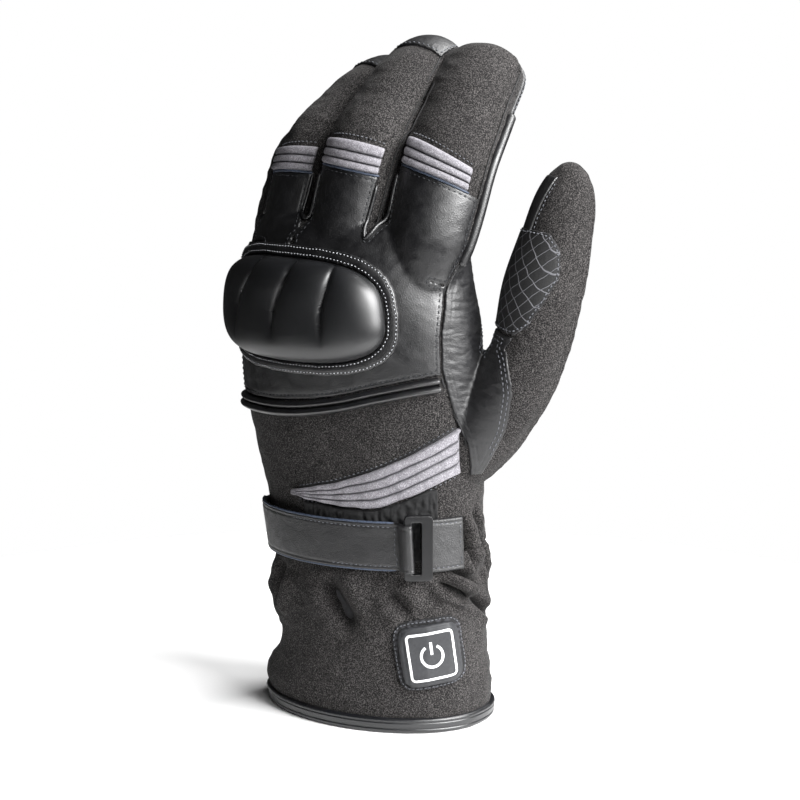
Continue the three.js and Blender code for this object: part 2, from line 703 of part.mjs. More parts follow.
// The panel's lower edge follows the piping, and its upper corners are on the hand
const PANEL_FOOT = [
  { across: -0.557, turn: -70 },
  { across: -0.33, turn: -32 },
  { across: 0, turn: 6 },
  { across: 0.227, turn: 34 },
  { across: 0.433, turn: 66 },
];
const PANEL_HEAD = [
  { across: 0.474, rise: 1 },
  { across: -0.546, rise: 0.948 },
];
function buildKnucklePanel() {
  const overPiping = (turn) => pipingHeight(turn) + PIPING_WIDTH / 2;
  const foot = PANEL_FOOT.map(({ across, turn }) => [across * PALM_WIDTH, overPiping(turn)]);
  const outline = [...foot, ...PANEL_HEAD.map(onHand)];
  const tongues = TONGUES.flatMap(({ name, from, to, end, slant }) => {
    const stall = stallNamed(name);
    const row = (distance) => ({ distance, from, to });
    const rows = evenRows(TONGUE_ROOT, end * FINGER_LENGTH - SEAM_GAP, 3, row);
    const tongue = stallBlock(stall, rows, TONGUE_REACH, slant * FINGER_LENGTH);
    return [tongue, stallBlock(stall, evenRows(TONGUE_ROOT, TONGUE_FOOT, 2, row), FOOT_REACH)];
  });
  return grown(ON_WALL + LEATHER)
    .subtract(grown(ON_WALL))
    .intersect(joined([prism(outline, 0, FAR, 6), ...tongues]))
    .subtract(sideSpace(SEAM_GAP))
    .subtract(pipingSpace(SEAM_GAP));
}

// The bands of ribs that follow the leather across three of the fingers, and the turns they cover
const BANDS = [
  { name: "index", from: -49, to: 46 },
  { name: "middle", from: -43, to: 49 },
  { name: "ring", from: -35, to: 43 },
];
function buildFingerRibs({ name, from, to }) {
  const stall = stallNamed(name);
  const { end, slant } = TONGUES.find((tongue) => tongue.name === name);
  const start = end * FINGER_LENGTH;
  const row = (distance) => ({ distance, from, to });
  const block = (low, high) => stallBlock(stall, evenRows(low, high, 2, row), 4, slant * FINGER_LENGTH);
  let ribs = stallForm(stall, RIB_FLOOR, 0).intersect(block(start, start + FINGER_RIBS * RIB_PITCH));
  for (let k = 0; k < FINGER_RIBS; k++) {
    const foot = start + (k + (1 - RIB_SHARE) / 2) * RIB_PITCH;
    ribs = ribs.add(stallForm(stall, RIB_HEIGHT, 0).intersect(block(foot, foot + RIB_SHARE * RIB_PITCH)));
  }
  return ribs.subtract(grown(ON_WALL)).subtract(sideSpace(SEAM_GAP));
}

// The ribs across the wrist fan out towards the thumb: their outer edges seen facing them.
// at is a share of the palm's width from the middle, low and high are shares of the way up the hand
const WRIST_FACING = 20;
const WRIST_FAN = [
  { at: -0.289, low: 0.155, high: 0.168 },
  { at: -0.165, low: 0.148, high: 0.198 },
  { at: -0.072, low: 0.141, high: 0.22 },
  { at: 0.074, low: 0.144, high: 0.267 },
  { at: 0.175, low: 0.174, high: 0.305 },
  { at: 0.278, low: 0.216, high: 0.352 },
  { at: 0.387, low: 0.264, high: 0.409 },
];
// The fan's outline at a share of the way from its lower edge to its upper one
const fanEdge = (share) =>
  WRIST_FAN.map(({ at, low, high }) => onHand({ across: at, rise: THREE.MathUtils.lerp(low, high, share) }));
const fanSpace = (from, to) => prism([...fanEdge(from), ...fanEdge(to).reverse()], WRIST_FACING, FAR, 0);
function buildWristRibs() {
  const wrist = (grow) => handForm(grow, CUFF_LENGTH - 1).add(stallForm(stallNamed("thumb"), grow));
  let ribs = wrist(RIB_FLOOR).intersect(fanSpace(0, 1));
  for (let k = 0; k < WRIST_RIBS; k++) {
    const foot = (k + (1 - RIB_SHARE) / 2) / WRIST_RIBS;
    ribs = ribs.add(wrist(RIB_HEIGHT).intersect(fanSpace(foot, foot + RIB_SHARE / WRIST_RIBS)));
  }
  return ribs.subtract(grown(ON_WALL)).subtract(sideSpace(SEAM_GAP));
}

// Everything round the wrist
const strapMiddle = (turn) =>
  CUFF_LENGTH + STRAP_RISE + (STRAP_SLANT * (turn - STRAP_START)) / (LOOP_TURN - STRAP_START);
const flatProfile = (from, to) => [
  [0, from],
  [0, to],
  [0.5, to],
  [1, to],
  [1, from],
  [0.5, from],
];
function strapBand(from, to, width, low, high, count) {
  const rows = evenRows(from, to, count, (turn) => ({
    turn,
    low: strapMiddle(turn) - width / 2,
    high: strapMiddle(turn) + width / 2,
  }));
  return band(rows, flatProfile(low, high));
}
function buildWristPieces() {
  const strapTop = STRAP_LIFT + STRAP_THICKNESS;
  const strap = strapBand(STRAP_START, LOOP_TURN + 1, STRAP_WIDTH, STRAP_LIFT, strapTop, 16);
  const tab = strapBand(TAB_START, STRAP_START - 1, STRAP_WIDTH - 1, STRAP_LIFT, strapTop + 0.6, 4);
  const anchor = strapBand(LOOP_TURN + 3, ANCHOR_END, STRAP_WIDTH + 2, STRAP_LIFT, strapTop, 4);
  const hole = new THREE.Path();
  const left = -LOOP_WIDTH / 2 + LOOP_BAR;
  const right = LOOP_WIDTH / 2 - LOOP_END_BAR;
  const top = LOOP_HEIGHT / 2 - LOOP_BAR;
  hole.moveTo(left, -top).lineTo(right, -top).lineTo(right, top).lineTo(left, top).closePath();
  const frame = roundedSquare(LOOP_WIDTH, LOOP_HEIGHT, LOOP_CORNER);
  frame.holes.push(hole);
  const settings = { depth: LOOP_THICKNESS, bevelEnabled: false, curveSegments: 2 };
  const loop = new THREE.ExtrudeGeometry(frame, settings);
  const seat = roundPoint(LOOP_TURN, strapMiddle(LOOP_TURN), strapTop + LOOP_LIFT);
  loop.rotateX(Math.PI / 2).rotateZ(degrees(LOOP_TURN - 8)).translate(seat.x, seat.y, seat.z);
  const head = fanEdge(0)
    .slice(1, -1)
    .map(([across, height]) => [across, height - ELASTIC_CLEARANCE]);
  const foot = CUFF_LENGTH - ELASTIC_TUCK;
  const ends = [head[0][0] - STRAP_WIDTH * 0.4, head.at(-1)[0] + STRAP_WIDTH * 0.2];
  const gathers = [
    [ends[0], foot],
    [ends[0], head[0][1]],
    ...head,
    [ends[1], head.at(-1)[1]],
    [ends[1], foot],
  ];
  const gatherSpace = prism(gathers, WRIST_FACING, FAR, 0);
  const elastic = layer(ON_WALL, ON_WALL + ELASTIC_THICKNESS).intersect(gatherSpace);
  return { strap, strap_tab: tab, strap_anchor: anchor, strap_loop: solidOf(loop), wrist_elastic: elastic };
}

// A rounded rectangle about the origin
function roundedSquare(width, height, corner) {
  const x = width / 2;
  const y = height / 2;
  const shape = new THREE.Shape();
  shape.moveTo(-x + corner, -y).lineTo(x - corner, -y);
  shape.quadraticCurveTo(x, -y, x, -y + corner).lineTo(x, y - corner);
  shape.quadraticCurveTo(x, y, x - corner, y).lineTo(-x + corner, y);
  shape.quadraticCurveTo(-x, y, -x, y - corner).lineTo(-x, -y + corner);
  shape.quadraticCurveTo(-x, -y, -x + corner, -y);
  return shape;
}

// The switch: a puffed pad on a stitched surround
function switchSpace(size, corner) {
  const tilt = degrees(SWITCH_TILT);
  const outline = roundedSquare(size, size, corner).getPoints(3).slice(0, -1);
  const turned = outline.map(({ x, y }) => [
    SWITCH_ACROSS + x * Math.cos(tilt) - y * Math.sin(tilt),
    SWITCH_AT * CUFF_LENGTH + x * Math.sin(tilt) + y * Math.cos(tilt),
  ]);
  return prism(turned, SWITCH_FACING, FAR, 10);
}
function buildSwitch() {
  const padFoot = ON_WALL + SURROUND_THICKNESS + SEAM_GAP;
  const steps = [
    { inset: 0, rise: 0.55 },
    { inset: 0.8, rise: 0.8 },
    { inset: 2.2, rise: 1 },
  ];
  const pad = steps.map(({ inset, rise }) => {
    const space = switchSpace(SWITCH_SIZE - 2 * inset, SWITCH_CORNER);
    return layer(padFoot, padFoot + SWITCH_HEIGHT * rise).intersect(space);
  });
  const surround = layer(ON_WALL, ON_WALL + SURROUND_THICKNESS).intersect(
    switchSpace(SWITCH_SIZE + 2 * SURROUND_MARGIN, SWITCH_CORNER + SURROUND_MARGIN),
  );
  return { switch_pad: joined(pad), switch_surround: surround };
}

// The folded binding round the hem, with a slot that the cuff's edge sits in
function buildHem() {
  const slot = cuffForm(SEAM_GAP, HEM_THICKNESS, HEM_HEIGHT + 1).subtract(
    cuffForm(-WALL - SEAM_GAP, HEM_THICKNESS - 1, HEM_HEIGHT + 2),
  );
  return cuffForm(SEAM_GAP + HEM_THICKNESS, 0, HEM_HEIGHT)
    .subtract(cuffForm(-WALL - SEAM_GAP - HEM_THICKNESS, -1, HEM_HEIGHT + 1))
    .subtract(slot);
}

// The gripping patch on the inner side of the thumb: the turns it covers at shares of the thumb's length
const PATCH_ROWS = [
  { at: 0.543, from: -125, to: -42 },
  { at: 0.571, from: -130, to: -22 },
  { at: 0.643, from: -130, to: -4 },
  { at: 0.707, from: -130, to: 8 },
  { at: 0.771, from: -130, to: 2 },
  { at: 0.814, from: -125, to: -22 },
];
const PATCH_THICKNESS = 1.6;
function buildPatch() {
  const thumb = stallNamed("thumb");
  const rows = PATCH_ROWS.map(({ at, from, to }) => ({ distance: at * THUMB_LENGTH, from, to }));
  const patch = stallForm(thumb, PATCH_THICKNESS, THUMB_LENGTH * 0.3).intersect(stallBlock(thumb, rows, 4));
  return patch.subtract(grown(ON_WALL)).subtract(sideSpace(SEAM_GAP));
}

// Leather of the palm, its outline seen through the hand from the back
const PALM_OUTLINE = [
  { across: -0.289, rise: 0.121 },
  { across: -0.454, rise: 0.31 },
  { across: -0.412, rise: 0.621 },
  { across: -0.33, rise: 0.897 },
  { across: -0.103, rise: 0.966 },
  { across: 0.227, rise: 0.983 },
  { across: 0.412, rise: 0.931 },
  { across: 0.433, rise: 0.707 },
  { across: 0.351, rise: 0.448 },
  { across: 0.371, rise: 0.241 },
  { across: 0.227, rise: 0.121 },
];
function buildPalmPanel() {
  const space = prism(PALM_OUTLINE.map(onHand).map(([x, z]) => [-x, z]), 180, FAR, 4);
  return layer(ON_WALL, ON_WALL + LEATHER).intersect(space).subtract(sideSpace(SEAM_GAP));
}

// Leather round the fingertips: where each starts along its finger, and the turns it covers
const TIPS = [
  { name: "index", start: 0.6, from: 88, to: 272 },
  { name: "middle", start: 0.81, from: -180, to: 180 },
  { name: "ring", start: 0.78, from: -180, to: 180 },
  { name: "little", start: 0.8, from: -180, to: 180 },
];
function buildTip({ name, start, from, to }) {
  const stall = stallNamed(name);
  let cap = stallForm(stall, ON_WALL + LEATHER, start * stall.length).subtract(grown(ON_WALL));
  const before = TIPS[TIPS.findIndex((tip) => tip.name === name) - 1];
  if (before) cap = cap.subtract(stallForm(stallNamed(before.name), ON_LEATHER + SEAM_GAP));
  if (to - from >= 360) return cap;
  const row = (distance) => ({ distance, from, to });
  const rows = evenRows(start * stall.length - 2, stall.length * 0.975, 5, row);
  return cap.intersect(stallBlock(stall, rows, 4));
}

const softshell = new THREE.MeshStandardMaterial({ color: 0x35322f, roughness: 0.95, metalness: 0 });
const leather = new THREE.MeshStandardMaterial({ color: 0x1c1c1e, roughness: 0.42, metalness: 0 });
const reflective = new THREE.MeshStandardMaterial({ color: 0xb4b2b6, roughness: 0.7, metalness: 0 });
const guardShell = new THREE.MeshStandardMaterial({ color: 0x1e2023, roughness: 0.3, metalness: 0 });
const elastic = new THREE.MeshStandardMaterial({ color: 0x18181a, roughness: 0.9, metalness: 0 });
const webbing = new THREE.MeshStandardMaterial({ color: 0x202024, roughness: 0.85, metalness: 0 });
const moulded = new THREE.MeshStandardMaterial({ color: 0x141416, roughness: 0.35, metalness: 0 });
const binding = new THREE.MeshStandardMaterial({ color: 0x202226, roughness: 0.35, metalness: 0 });
const netting = new THREE.MeshStandardMaterial({ color: 0x202022, roughness: 0.7, metalness: 0 });
const rubber = new THREE.MeshStandardMaterial({ color: 0x3b3c40, roughness: 0.55, metalness: 0 });

const group = new THREE.Group();
function place(name, solid, material) {
  const mesh = wholePiece(solid.simplify(FACET_LOSS)).simplify(FACET_LOSS).getMesh();
  const geometry = new THREE.BufferGeometry();
  geometry.setAttribute("position", new THREE.BufferAttribute(mesh.vertProperties, 3));
  geometry.setIndex(new THREE.BufferAttribute(mesh.triVerts, 1));
  geometry.computeVertexNormals();
  const piece = new THREE.Mesh(geometry, material);
  piece.name = name;
  group.add(piece);
}

for (const [name, solid] of Object.entries(buildWalls())) place(name, solid, softshell);
place("hem_binding", buildHem(), binding);

place("knuckle_panel", buildKnucklePanel(), leather);
place("knuckle_guard", guardForm(0).subtract(grown(ON_LEATHER)), guardShell);
const borderLayer = layer(ON_LEATHER, ON_LEATHER + BORDER_THICKNESS).intersect(guardSpace(BORDER_WIDTH));
place("guard_border", borderLayer.subtract(guardForm(SEAM_GAP)), leather);
place("panel_piping", pipingSpace(0).subtract(grown(ON_WALL)).subtract(sideSpace(SEAM_GAP)), leather);
place("side_panel", layer(ON_WALL, ON_WALL + LEATHER).intersect(sideSpace(0)), leather);
place("palm_panel", buildPalmPanel(), leather);

for (const finger of BANDS) place(`${finger.name}_ribs`, buildFingerRibs(finger), reflective);
for (const tip of TIPS) place(`${tip.name}_tip`, buildTip(tip), leather);
place("thumb_patch", buildPatch(), netting);

place("wrist_ribs", buildWristRibs(), reflective);
const wristPieces = buildWristPieces();
place("wrist_elastic", wristPieces.wrist_elastic, elastic);
place("strap", wristPieces.strap, leather);
place("strap_tab", wristPieces.strap_tab, webbing);
place("strap_anchor", wristPieces.strap_anchor, leather);
place("strap_loop", wristPieces.strap_loop, moulded);

const { switch_pad: pad, switch_surround: surround } = buildSwitch();
place("switch_surround", surround, webbing);
place("switch_pad", pad, rubber);

export default group;
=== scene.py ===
import math

import bmesh
import bpy
import numpy as np
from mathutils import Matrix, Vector, kdtree, noise
from mathutils.bvhtree import BVHTree


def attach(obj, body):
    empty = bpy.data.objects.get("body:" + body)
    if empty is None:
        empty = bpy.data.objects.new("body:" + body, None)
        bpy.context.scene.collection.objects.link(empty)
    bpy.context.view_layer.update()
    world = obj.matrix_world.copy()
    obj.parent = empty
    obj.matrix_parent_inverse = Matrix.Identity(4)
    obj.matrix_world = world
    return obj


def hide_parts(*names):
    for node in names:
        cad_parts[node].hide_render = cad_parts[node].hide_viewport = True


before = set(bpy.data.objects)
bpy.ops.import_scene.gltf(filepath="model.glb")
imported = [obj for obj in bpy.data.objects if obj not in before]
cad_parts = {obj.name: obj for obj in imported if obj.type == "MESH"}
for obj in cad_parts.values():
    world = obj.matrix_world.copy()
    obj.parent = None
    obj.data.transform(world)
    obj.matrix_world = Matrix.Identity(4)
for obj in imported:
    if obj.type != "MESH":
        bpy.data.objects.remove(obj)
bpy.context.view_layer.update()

# A heated riding glove for the left hand, dressed in its cloth, leather and trim.
# Sizes are millimetres until a mesh is made. -Y faces out of the back of the hand, +X is the thumb's side.
MM = 0.001

CUFF_LENGTH = 68
CUFF_WIDTH = 89
CUFF_DEPTH = 62
WRIST_WIDTH = 85
WRIST_DEPTH = 56
HAND_LENGTH = 116
PALM_WIDTH = 97
PALM_DEPTH = 54
FORK = CUFF_LENGTH + HAND_LENGTH
FINGER_LENGTH = 88
FINGER_WIDTH = 29
FINGER_DEPTH = 25
FINGER_ROOT = 16
THUMB_LENGTH = 140
THUMB_WIDTH = 27
WALL = 3.2
TOP_ROUND = 8
PALM_SQUARENESS = 2.5
RIB_PITCH = 2.7
FINGER_RIBS = 3
WRIST_RIBS = 4
GUARD_TURN = -13
GUARD_SPAN = 98
GUARD_HEIGHT = 38
GUARD_AT = 0.767
GUARD_RISE = 9
GUARD_SQUARENESS = 2.9
STRAP_WIDTH = 17.8
STRAP_LIFT = 1.6
STRAP_TOP = 3.6
STRAP_START = -74
TAB_START = -96
ANCHOR_END = 76
STRAP_RISE = 1.5
STRAP_SLANT = 2
LOOP_TURN = 47.5
SWITCH_AT = 0.449
SWITCH_FACING = 45
SWITCH_ACROSS = 13.4
SWITCH_TILT = 8
HEM_HEIGHT = 6

WRIST_SPAN = WRIST_WIDTH / PALM_WIDTH
WRIST_THROUGH = WRIST_DEPTH / PALM_DEPTH

# Sections up the hand, as shares of the palm's width and depth
HAND = [
    {"at": 0, "width": WRIST_SPAN, "back": WRIST_THROUGH, "palm": WRIST_THROUGH, "side": -0.01, "rear": 0},
    {"at": 0.16, "width": 0.94, "back": 1.04, "palm": 1.04, "side": -0.03, "rear": -0.005},
    {"at": 0.42, "width": 1.04, "back": 1.08, "palm": 1, "side": -0.06, "rear": -0.02},
    {"at": 0.72, "width": 1.03, "back": 1.1, "palm": 0.86, "side": -0.07, "rear": -0.045},
    {"at": 0.9, "width": 0.97, "back": 1.08, "palm": 0.7, "side": -0.08, "rear": -0.03},
    {"at": 1, "width": 0.93, "back": 1.02, "palm": 0.62, "side": -0.085, "rear": 0.005},
]
# Sections up the cuff, and how far each has turned into the wrist's section
CUFF = [
    {"at": 0, "girth": 1, "wrist": 0},
    {"at": 0.2, "girth": 1.02, "wrist": 0},
    {"at": 0.45, "girth": 0.985, "wrist": 0.15},
    {"at": 0.75, "girth": 1.02, "wrist": 0.7},
    {"at": 1, "girth": 1, "wrist": 1},
]
# Soft folds of the cuff: middle, half sizes, slant and depth as a share of the cuff's depth
FOLDS = [
    {"turn": 70, "at": 0.72, "reach": 30, "spread": 0.06, "slant": -0.35, "depth": -0.04},
    {"turn": 62, "at": 0.84, "reach": 24, "spread": 0.05, "slant": -0.2, "depth": 0.035},
    {"turn": 100, "at": 0.86, "reach": 12, "spread": 0.2, "slant": 0, "depth": -0.04},
    {"turn": 12, "at": 0.62, "reach": 22, "spread": 0.1, "slant": 0.3, "depth": -0.03},
    {"turn": -70, "at": 0.37, "reach": 36, "spread": 0.11, "slant": 0.1, "depth": -0.045},
    {"turn": -70, "at": 0.6, "reach": 30, "spread": 0.12, "slant": 0.1, "depth": 0.03},
    {"turn": -70, "at": 0.14, "reach": 36, "spread": 0.1, "slant": 0, "depth": 0.055},
    {"turn": 170, "at": 0.6, "reach": 40, "spread": 0.1, "slant": 0.1, "depth": -0.035},
    {"turn": -140, "at": 0.35, "reach": 30, "spread": 0.09, "slant": -0.2, "depth": -0.03},
]
# Where each finger starts, its size beside the middle one's, and how it turns, leans and bends in degrees
FINGERS = {
    "index": dict(
        side=0.297, rear=-0.14, length=0.91, width=1.13, depth=1.1, turn=16, spread=10, bends=(14, 36, 50)
    ),
    "middle": dict(
        side=-0.03, rear=-0.28, length=1.02, width=1, depth=1, turn=3, spread=11, bends=(9, 44, 64)
    ),
    "ring": dict(
        side=-0.305, rear=-0.18, length=0.96, width=0.94, depth=0.97, turn=-11, spread=4, bends=(15, 52, 70)
    ),
    "little": dict(
        side=-0.48, rear=0.05, length=0.78, width=0.84, depth=0.86, turn=-34, spread=-2, bends=(18, 46, 64)
    ),
}
FINGER_TAPER = [
    {"at": -0.2, "width": 0.7, "depth": 0.62},
    {"at": 0, "width": 0.96, "depth": 0.98},
    {"at": 0.36, "width": 1.02, "depth": 1},
    {"at": 0.6, "width": 0.99, "depth": 0.94},
    {"at": 0.8, "width": 0.96, "depth": 0.92},
    {"at": 1, "width": 0.9, "depth": 0.86},
]
JOINTS_AT = (0.38, 0.7)
JOINT_SOFTNESS = 0.1
TIP_ROUND = 0.16
TIP_BLUNTNESS = 2.4
# The thumb's middle line, as shares of the palm's width and depth and the thumb's length
THUMB_LINE = [
    {"at": 0, "side": 0.186, "rear": 0, "rise": 0.014},
    {"at": 0.2, "side": 0.392, "rear": 0.11, "rise": 0.143},
    {"at": 0.36, "side": 0.526, "rear": 0.185, "rise": 0.267},
    {"at": 0.5, "side": 0.622, "rear": 0.222, "rise": 0.391},
    {"at": 0.66, "side": 0.668, "rear": 0.26, "rise": 0.551},
    {"at": 0.8, "side": 0.704, "rear": 0.315, "rise": 0.681},
    {"at": 0.9, "side": 0.723, "rear": 0.37, "rise": 0.785},
    {"at": 1, "side": 0.747, "rear": 0.407, "rise": 0.881},
]
THUMB_TAPER = [
    {"at": 0, "width": 0.9, "depth": 0.95},
    {"at": 0.2, "width": 1.12, "depth": 1.15},
    {"at": 0.36, "width": 1.08, "depth": 1.1},
    {"at": 0.5, "width": 1, "depth": 1.02},
    {"at": 0.66, "width": 1.04, "depth": 1},
    {"at": 0.8, "width": 0.92, "depth": 0.92},
    {"at": 0.9, "width": 0.8, "depth": 0.82},
    {"at": 1, "width": 0.66, "depth": 0.7},
]
THUMB_FOOT = 0.172
THUMB_FACING = 40
# Bands of ribs on the fingers, from the end of the leather: shares of the middle finger's length
BANDS = {
    "index": {"from": -49, "to": 46, "end": 0.268, "slant": -0.0625},
    "middle": {"from": -43, "to": 49, "end": 0.268, "slant": 0.011},
    "ring": {"from": -35, "to": 43, "end": 0.211, "slant": 0.035},
}
# The ribbed fan across the wrist, facing it: shares of the palm's width and of the way up the hand
WRIST_FACING = 20
WRIST_FAN = [
    {"at": -0.289, "low": 0.155, "high": 0.168},
    {"at": -0.165, "low": 0.148, "high": 0.198},
    {"at": -0.072, "low": 0.141, "high": 0.22},
    {"at": 0.074, "low": 0.144, "high": 0.267},
    {"at": 0.175, "low": 0.174, "high": 0.305},
    {"at": 0.278, "low": 0.216, "high": 0.352},
    {"at": 0.387, "low": 0.264, "high": 0.409},
]
# The guard's side, from its foot to its crown, and where one swell meets the next in degrees round the hand
GUARD_SIDE = [
    {"at": 0, "reach": 1, "rise": 0},
    {"at": 0.16, "reach": 1, "rise": 0.3},
    {"at": 0.32, "reach": 0.95, "rise": 0.58},
    {"at": 0.48, "reach": 0.85, "rise": 0.8},
    {"at": 0.64, "reach": 0.68, "rise": 0.94},
    {"at": 0.8, "reach": 0.45, "rise": 1},
    {"at": 0.92, "reach": 0.2, "rise": 1},
    {"at": 1, "reach": 0.01, "rise": 1},
]
SWELL_EDGES = [-62, -34, -11.5, 10, 36]
SWELL_DEPTH = 0.3
# Creases of the cloth round the wrist: both ends as a turn and a height, with width and depth
CREASES = [
    {"turn": 56, "z": 58, "to_turn": 92, "to_z": 48, "width": 1.3, "depth": 1.7},
    {"turn": 88, "z": 50, "to_turn": 116, "to_z": 38, "width": 1.5, "depth": 1.4},
    {"turn": 66, "z": 62, "to_turn": 98, "to_z": 53, "width": 1.2, "depth": 1.4},
    {"turn": 79, "z": 82, "to_turn": 90, "to_z": 57, "width": 1.3, "depth": 1.7},
    {"turn": 92, "z": 84, "to_turn": 104, "to_z": 58, "width": 1.3, "depth": 1.5},
    {"turn": 100, "z": 76, "to_turn": 118, "to_z": 48, "width": 2.2, "depth": 1.3},
    {"turn": -5, "z": 57, "to_turn": 12, "to_z": 36, "width": 5, "depth": 1.6},
    {"turn": -40, "z": 58, "to_turn": -52, "to_z": 38, "width": 4, "depth": 1.3},
    {"turn": 30, "z": 54, "to_turn": 44, "to_z": 44, "width": 3, "depth": 1},
    {"turn": 150, "z": 78, "to_turn": 178, "to_z": 60, "width": 2.6, "depth": 1.4},
    {"turn": -176, "z": 76, "to_turn": -140, "to_z": 56, "width": 2.6, "depth": 1.4},
    {"turn": 160, "z": 48, "to_turn": 190, "to_z": 34, "width": 3, "depth": 1.2},
]


# Forms of the glove

def column(table, name, share):
    """One column of a table at a share along it, on a smooth curve through the rows."""
    at = np.array([row["at"] for row in table], float)
    value = np.array([row[name] for row in table], float)
    share = np.asarray(share, float)
    last = len(at) - 1
    i = np.searchsorted(at[1:-1], share, side="left")
    span = at[i + 1] - at[i]
    t = np.clip((share - at[i]) / span, 0, 1)
    before = np.maximum(i - 1, 0)
    after = np.minimum(i + 2, last)
    m0 = (value[i + 1] - value[before]) / (at[i + 1] - at[before]) * span
    m1 = (value[after] - value[i]) / (at[after] - at[i]) * span
    level = (2 * t**3 - 3 * t**2 + 1) * value[i] + (3 * t**2 - 2 * t**3) * value[i + 1]
    return level + (t**3 - 2 * t**2 + t) * m0 + (t**3 - t**2) * m1


def section_point(section, turn, z, out):
    """
    Points round one section of the hand or cuff.
    turn is in degrees, 0 at the back, 90 on the thumb's side.
    """
    sine = np.sin(np.radians(turn))
    cosine = np.cos(np.radians(turn))
    behind = cosine < 0
    power = np.where(behind, 2 / PALM_SQUARENESS, 1.0)
    depth = np.where(behind, section["palm"], section["back"])
    x = section["x"] + (section["half"] + out) * np.sign(sine) * np.abs(sine) ** power
    y = section["y"] - (depth + out) * np.sign(cosine) * np.abs(cosine) ** power
    return np.stack(np.broadcast_arrays(x, y, z), -1)


def hand_section(share):
    return {
        "x": column(HAND, "side", share) * PALM_WIDTH,
        "y": column(HAND, "rear", share) * PALM_DEPTH,
        "half": column(HAND, "width", share) * PALM_WIDTH / 2,
        "back": column(HAND, "back", share) * PALM_DEPTH / 2,
        "palm": column(HAND, "palm", share) * PALM_DEPTH / 2,
    }


def hand_point(turn, z, out):
    """A point of the hand's wall. Above the forks it closes over in a rounded top."""
    climb = np.clip((z - FORK) / TOP_ROUND, 0, 1)
    lean = climb * np.pi / 2
    section = hand_section(np.clip((z - CUFF_LENGTH) / HAND_LENGTH, 0, 1))
    draw = (1 - np.cos(lean)) * section["palm"]
    height = np.minimum(z, FORK) + np.sin(lean) * (TOP_ROUND + out * (climb > 0))
    return section_point(section, turn, height, out - draw)


def fold_lift(turn, share):
    lift = 0
    for fold in FOLDS:
        round_ = (turn - fold["turn"] + 180) % 360 - 180
        along = share - fold["at"] - fold["slant"] * round_ / 100
        lift = lift + fold["depth"] * CUFF_DEPTH * np.exp(
            -((round_ / fold["reach"]) ** 2) - (along / fold["spread"]) ** 2
        )
    return lift * np.sin(np.pi * np.minimum(share, 0.97)) ** 0.5


def cuff_section(share):
    girth = column(CUFF, "girth", share)
    wrist = column(CUFF, "wrist", share)
    half = (CUFF_WIDTH + (WRIST_WIDTH - CUFF_WIDTH) * wrist) * girth / 2
    depth = (CUFF_DEPTH + (WRIST_DEPTH - CUFF_DEPTH) * wrist) * girth / 2
    return {"x": 0.0, "y": 0.0, "half": half, "back": depth, "palm": depth}


def cuff_point(turn, z, out):
    share = np.clip(z / CUFF_LENGTH, 0, 1)
    return section_point(cuff_section(share), turn, z, out + fold_lift(turn, share))


def wall_point(turn, z, out):
    """A point over the cuff, wrist or hand at any height."""
    low = cuff_point(turn, np.minimum(z, CUFF_LENGTH), out)
    high = hand_point(turn, np.maximum(z, CUFF_LENGTH), out)
    return np.where(np.asarray(z + 0 * turn)[..., None] < CUFF_LENGTH, low, high)


def unit(v):
    return v / np.linalg.norm(v, axis=-1, keepdims=True)


def finger_path(finger):
    """The middle line of a finger as functions of the distance along it."""
    length = finger["length"] * FINGER_LENGTH
    turn = math.radians(finger["turn"])
    across = np.array([math.cos(turn), math.sin(turn), 0])
    inward = np.array([-math.sin(turn), math.cos(turn), 0])
    straight = unit(np.array([0, 0, 1]) + across * math.tan(math.radians(finger["spread"])))
    width = unit(across - across.dot(straight) * straight)
    start = np.array([finger["side"] * PALM_WIDTH, finger["rear"] * PALM_DEPTH, FORK])
    first, second, third = finger["bends"]

    def bend(distance):
        step = [1 / (1 + np.exp(-((distance / length - joint) / JOINT_SOFTNESS) * 4)) for joint in JOINTS_AT]
        return np.radians(first + (second - first) * step[0] + (third - second) * step[1])

    stops = np.arange(-FINGER_ROOT - 10, length + 12, 0.25)
    lean = bend(stops + 0.125)[:, None]
    moves = (np.cos(lean) * straight + np.sin(lean) * inward) * 0.25
    line = np.concatenate([[np.zeros(3)], np.cumsum(moves, 0)[:-1]])
    zero = np.array([np.interp(0, stops, line[:, k]) for k in range(3)])
    line = line - zero + start

    def frame_at(distance):
        point = np.stack([np.interp(distance, stops, line[:, k]) for k in range(3)], -1)
        lean = bend(distance)[..., None]
        along = np.cos(lean) * straight + np.sin(lean) * inward
        return point, along, np.broadcast_to(width, along.shape), unit(np.cross(width, along))

    return frame_at


def thumb_point(share):
    x = column(THUMB_LINE, "side", share) * PALM_WIDTH
    y = column(THUMB_LINE, "rear", share) * PALM_DEPTH
    z = CUFF_LENGTH + THUMB_FOOT * HAND_LENGTH + column(THUMB_LINE, "rise", share) * THUMB_LENGTH
    return np.stack([x, y, z], -1)


def thumb_frame(distance):
    share = distance / THUMB_LENGTH
    step = 0.01
    along = unit(thumb_point(np.minimum(share + step, 1)) - thumb_point(np.minimum(share, 1) - step))
    facing = math.radians(THUMB_FACING)
    across = np.array([math.cos(facing), math.sin(facing), 0])
    width = unit(across - (along @ across)[..., None] * along)
    point = thumb_point(np.minimum(share, 1)) + np.maximum(share - 1, 0)[..., None] * THUMB_LENGTH * along
    return point, along, width, unit(np.cross(width, along))


STALLS = {
    name: dict(
        path=finger_path(finger), length=finger["length"] * FINGER_LENGTH,
        foot=-FINGER_ROOT, taper=FINGER_TAPER,
        width=finger["width"] * FINGER_WIDTH, depth=finger["depth"] * FINGER_DEPTH,
    )
    for name, finger in FINGERS.items()
}
STALLS["thumb"] = dict(
    path=thumb_frame, length=THUMB_LENGTH, foot=0, taper=THUMB_TAPER, width=THUMB_WIDTH, depth=THUMB_WIDTH,
)


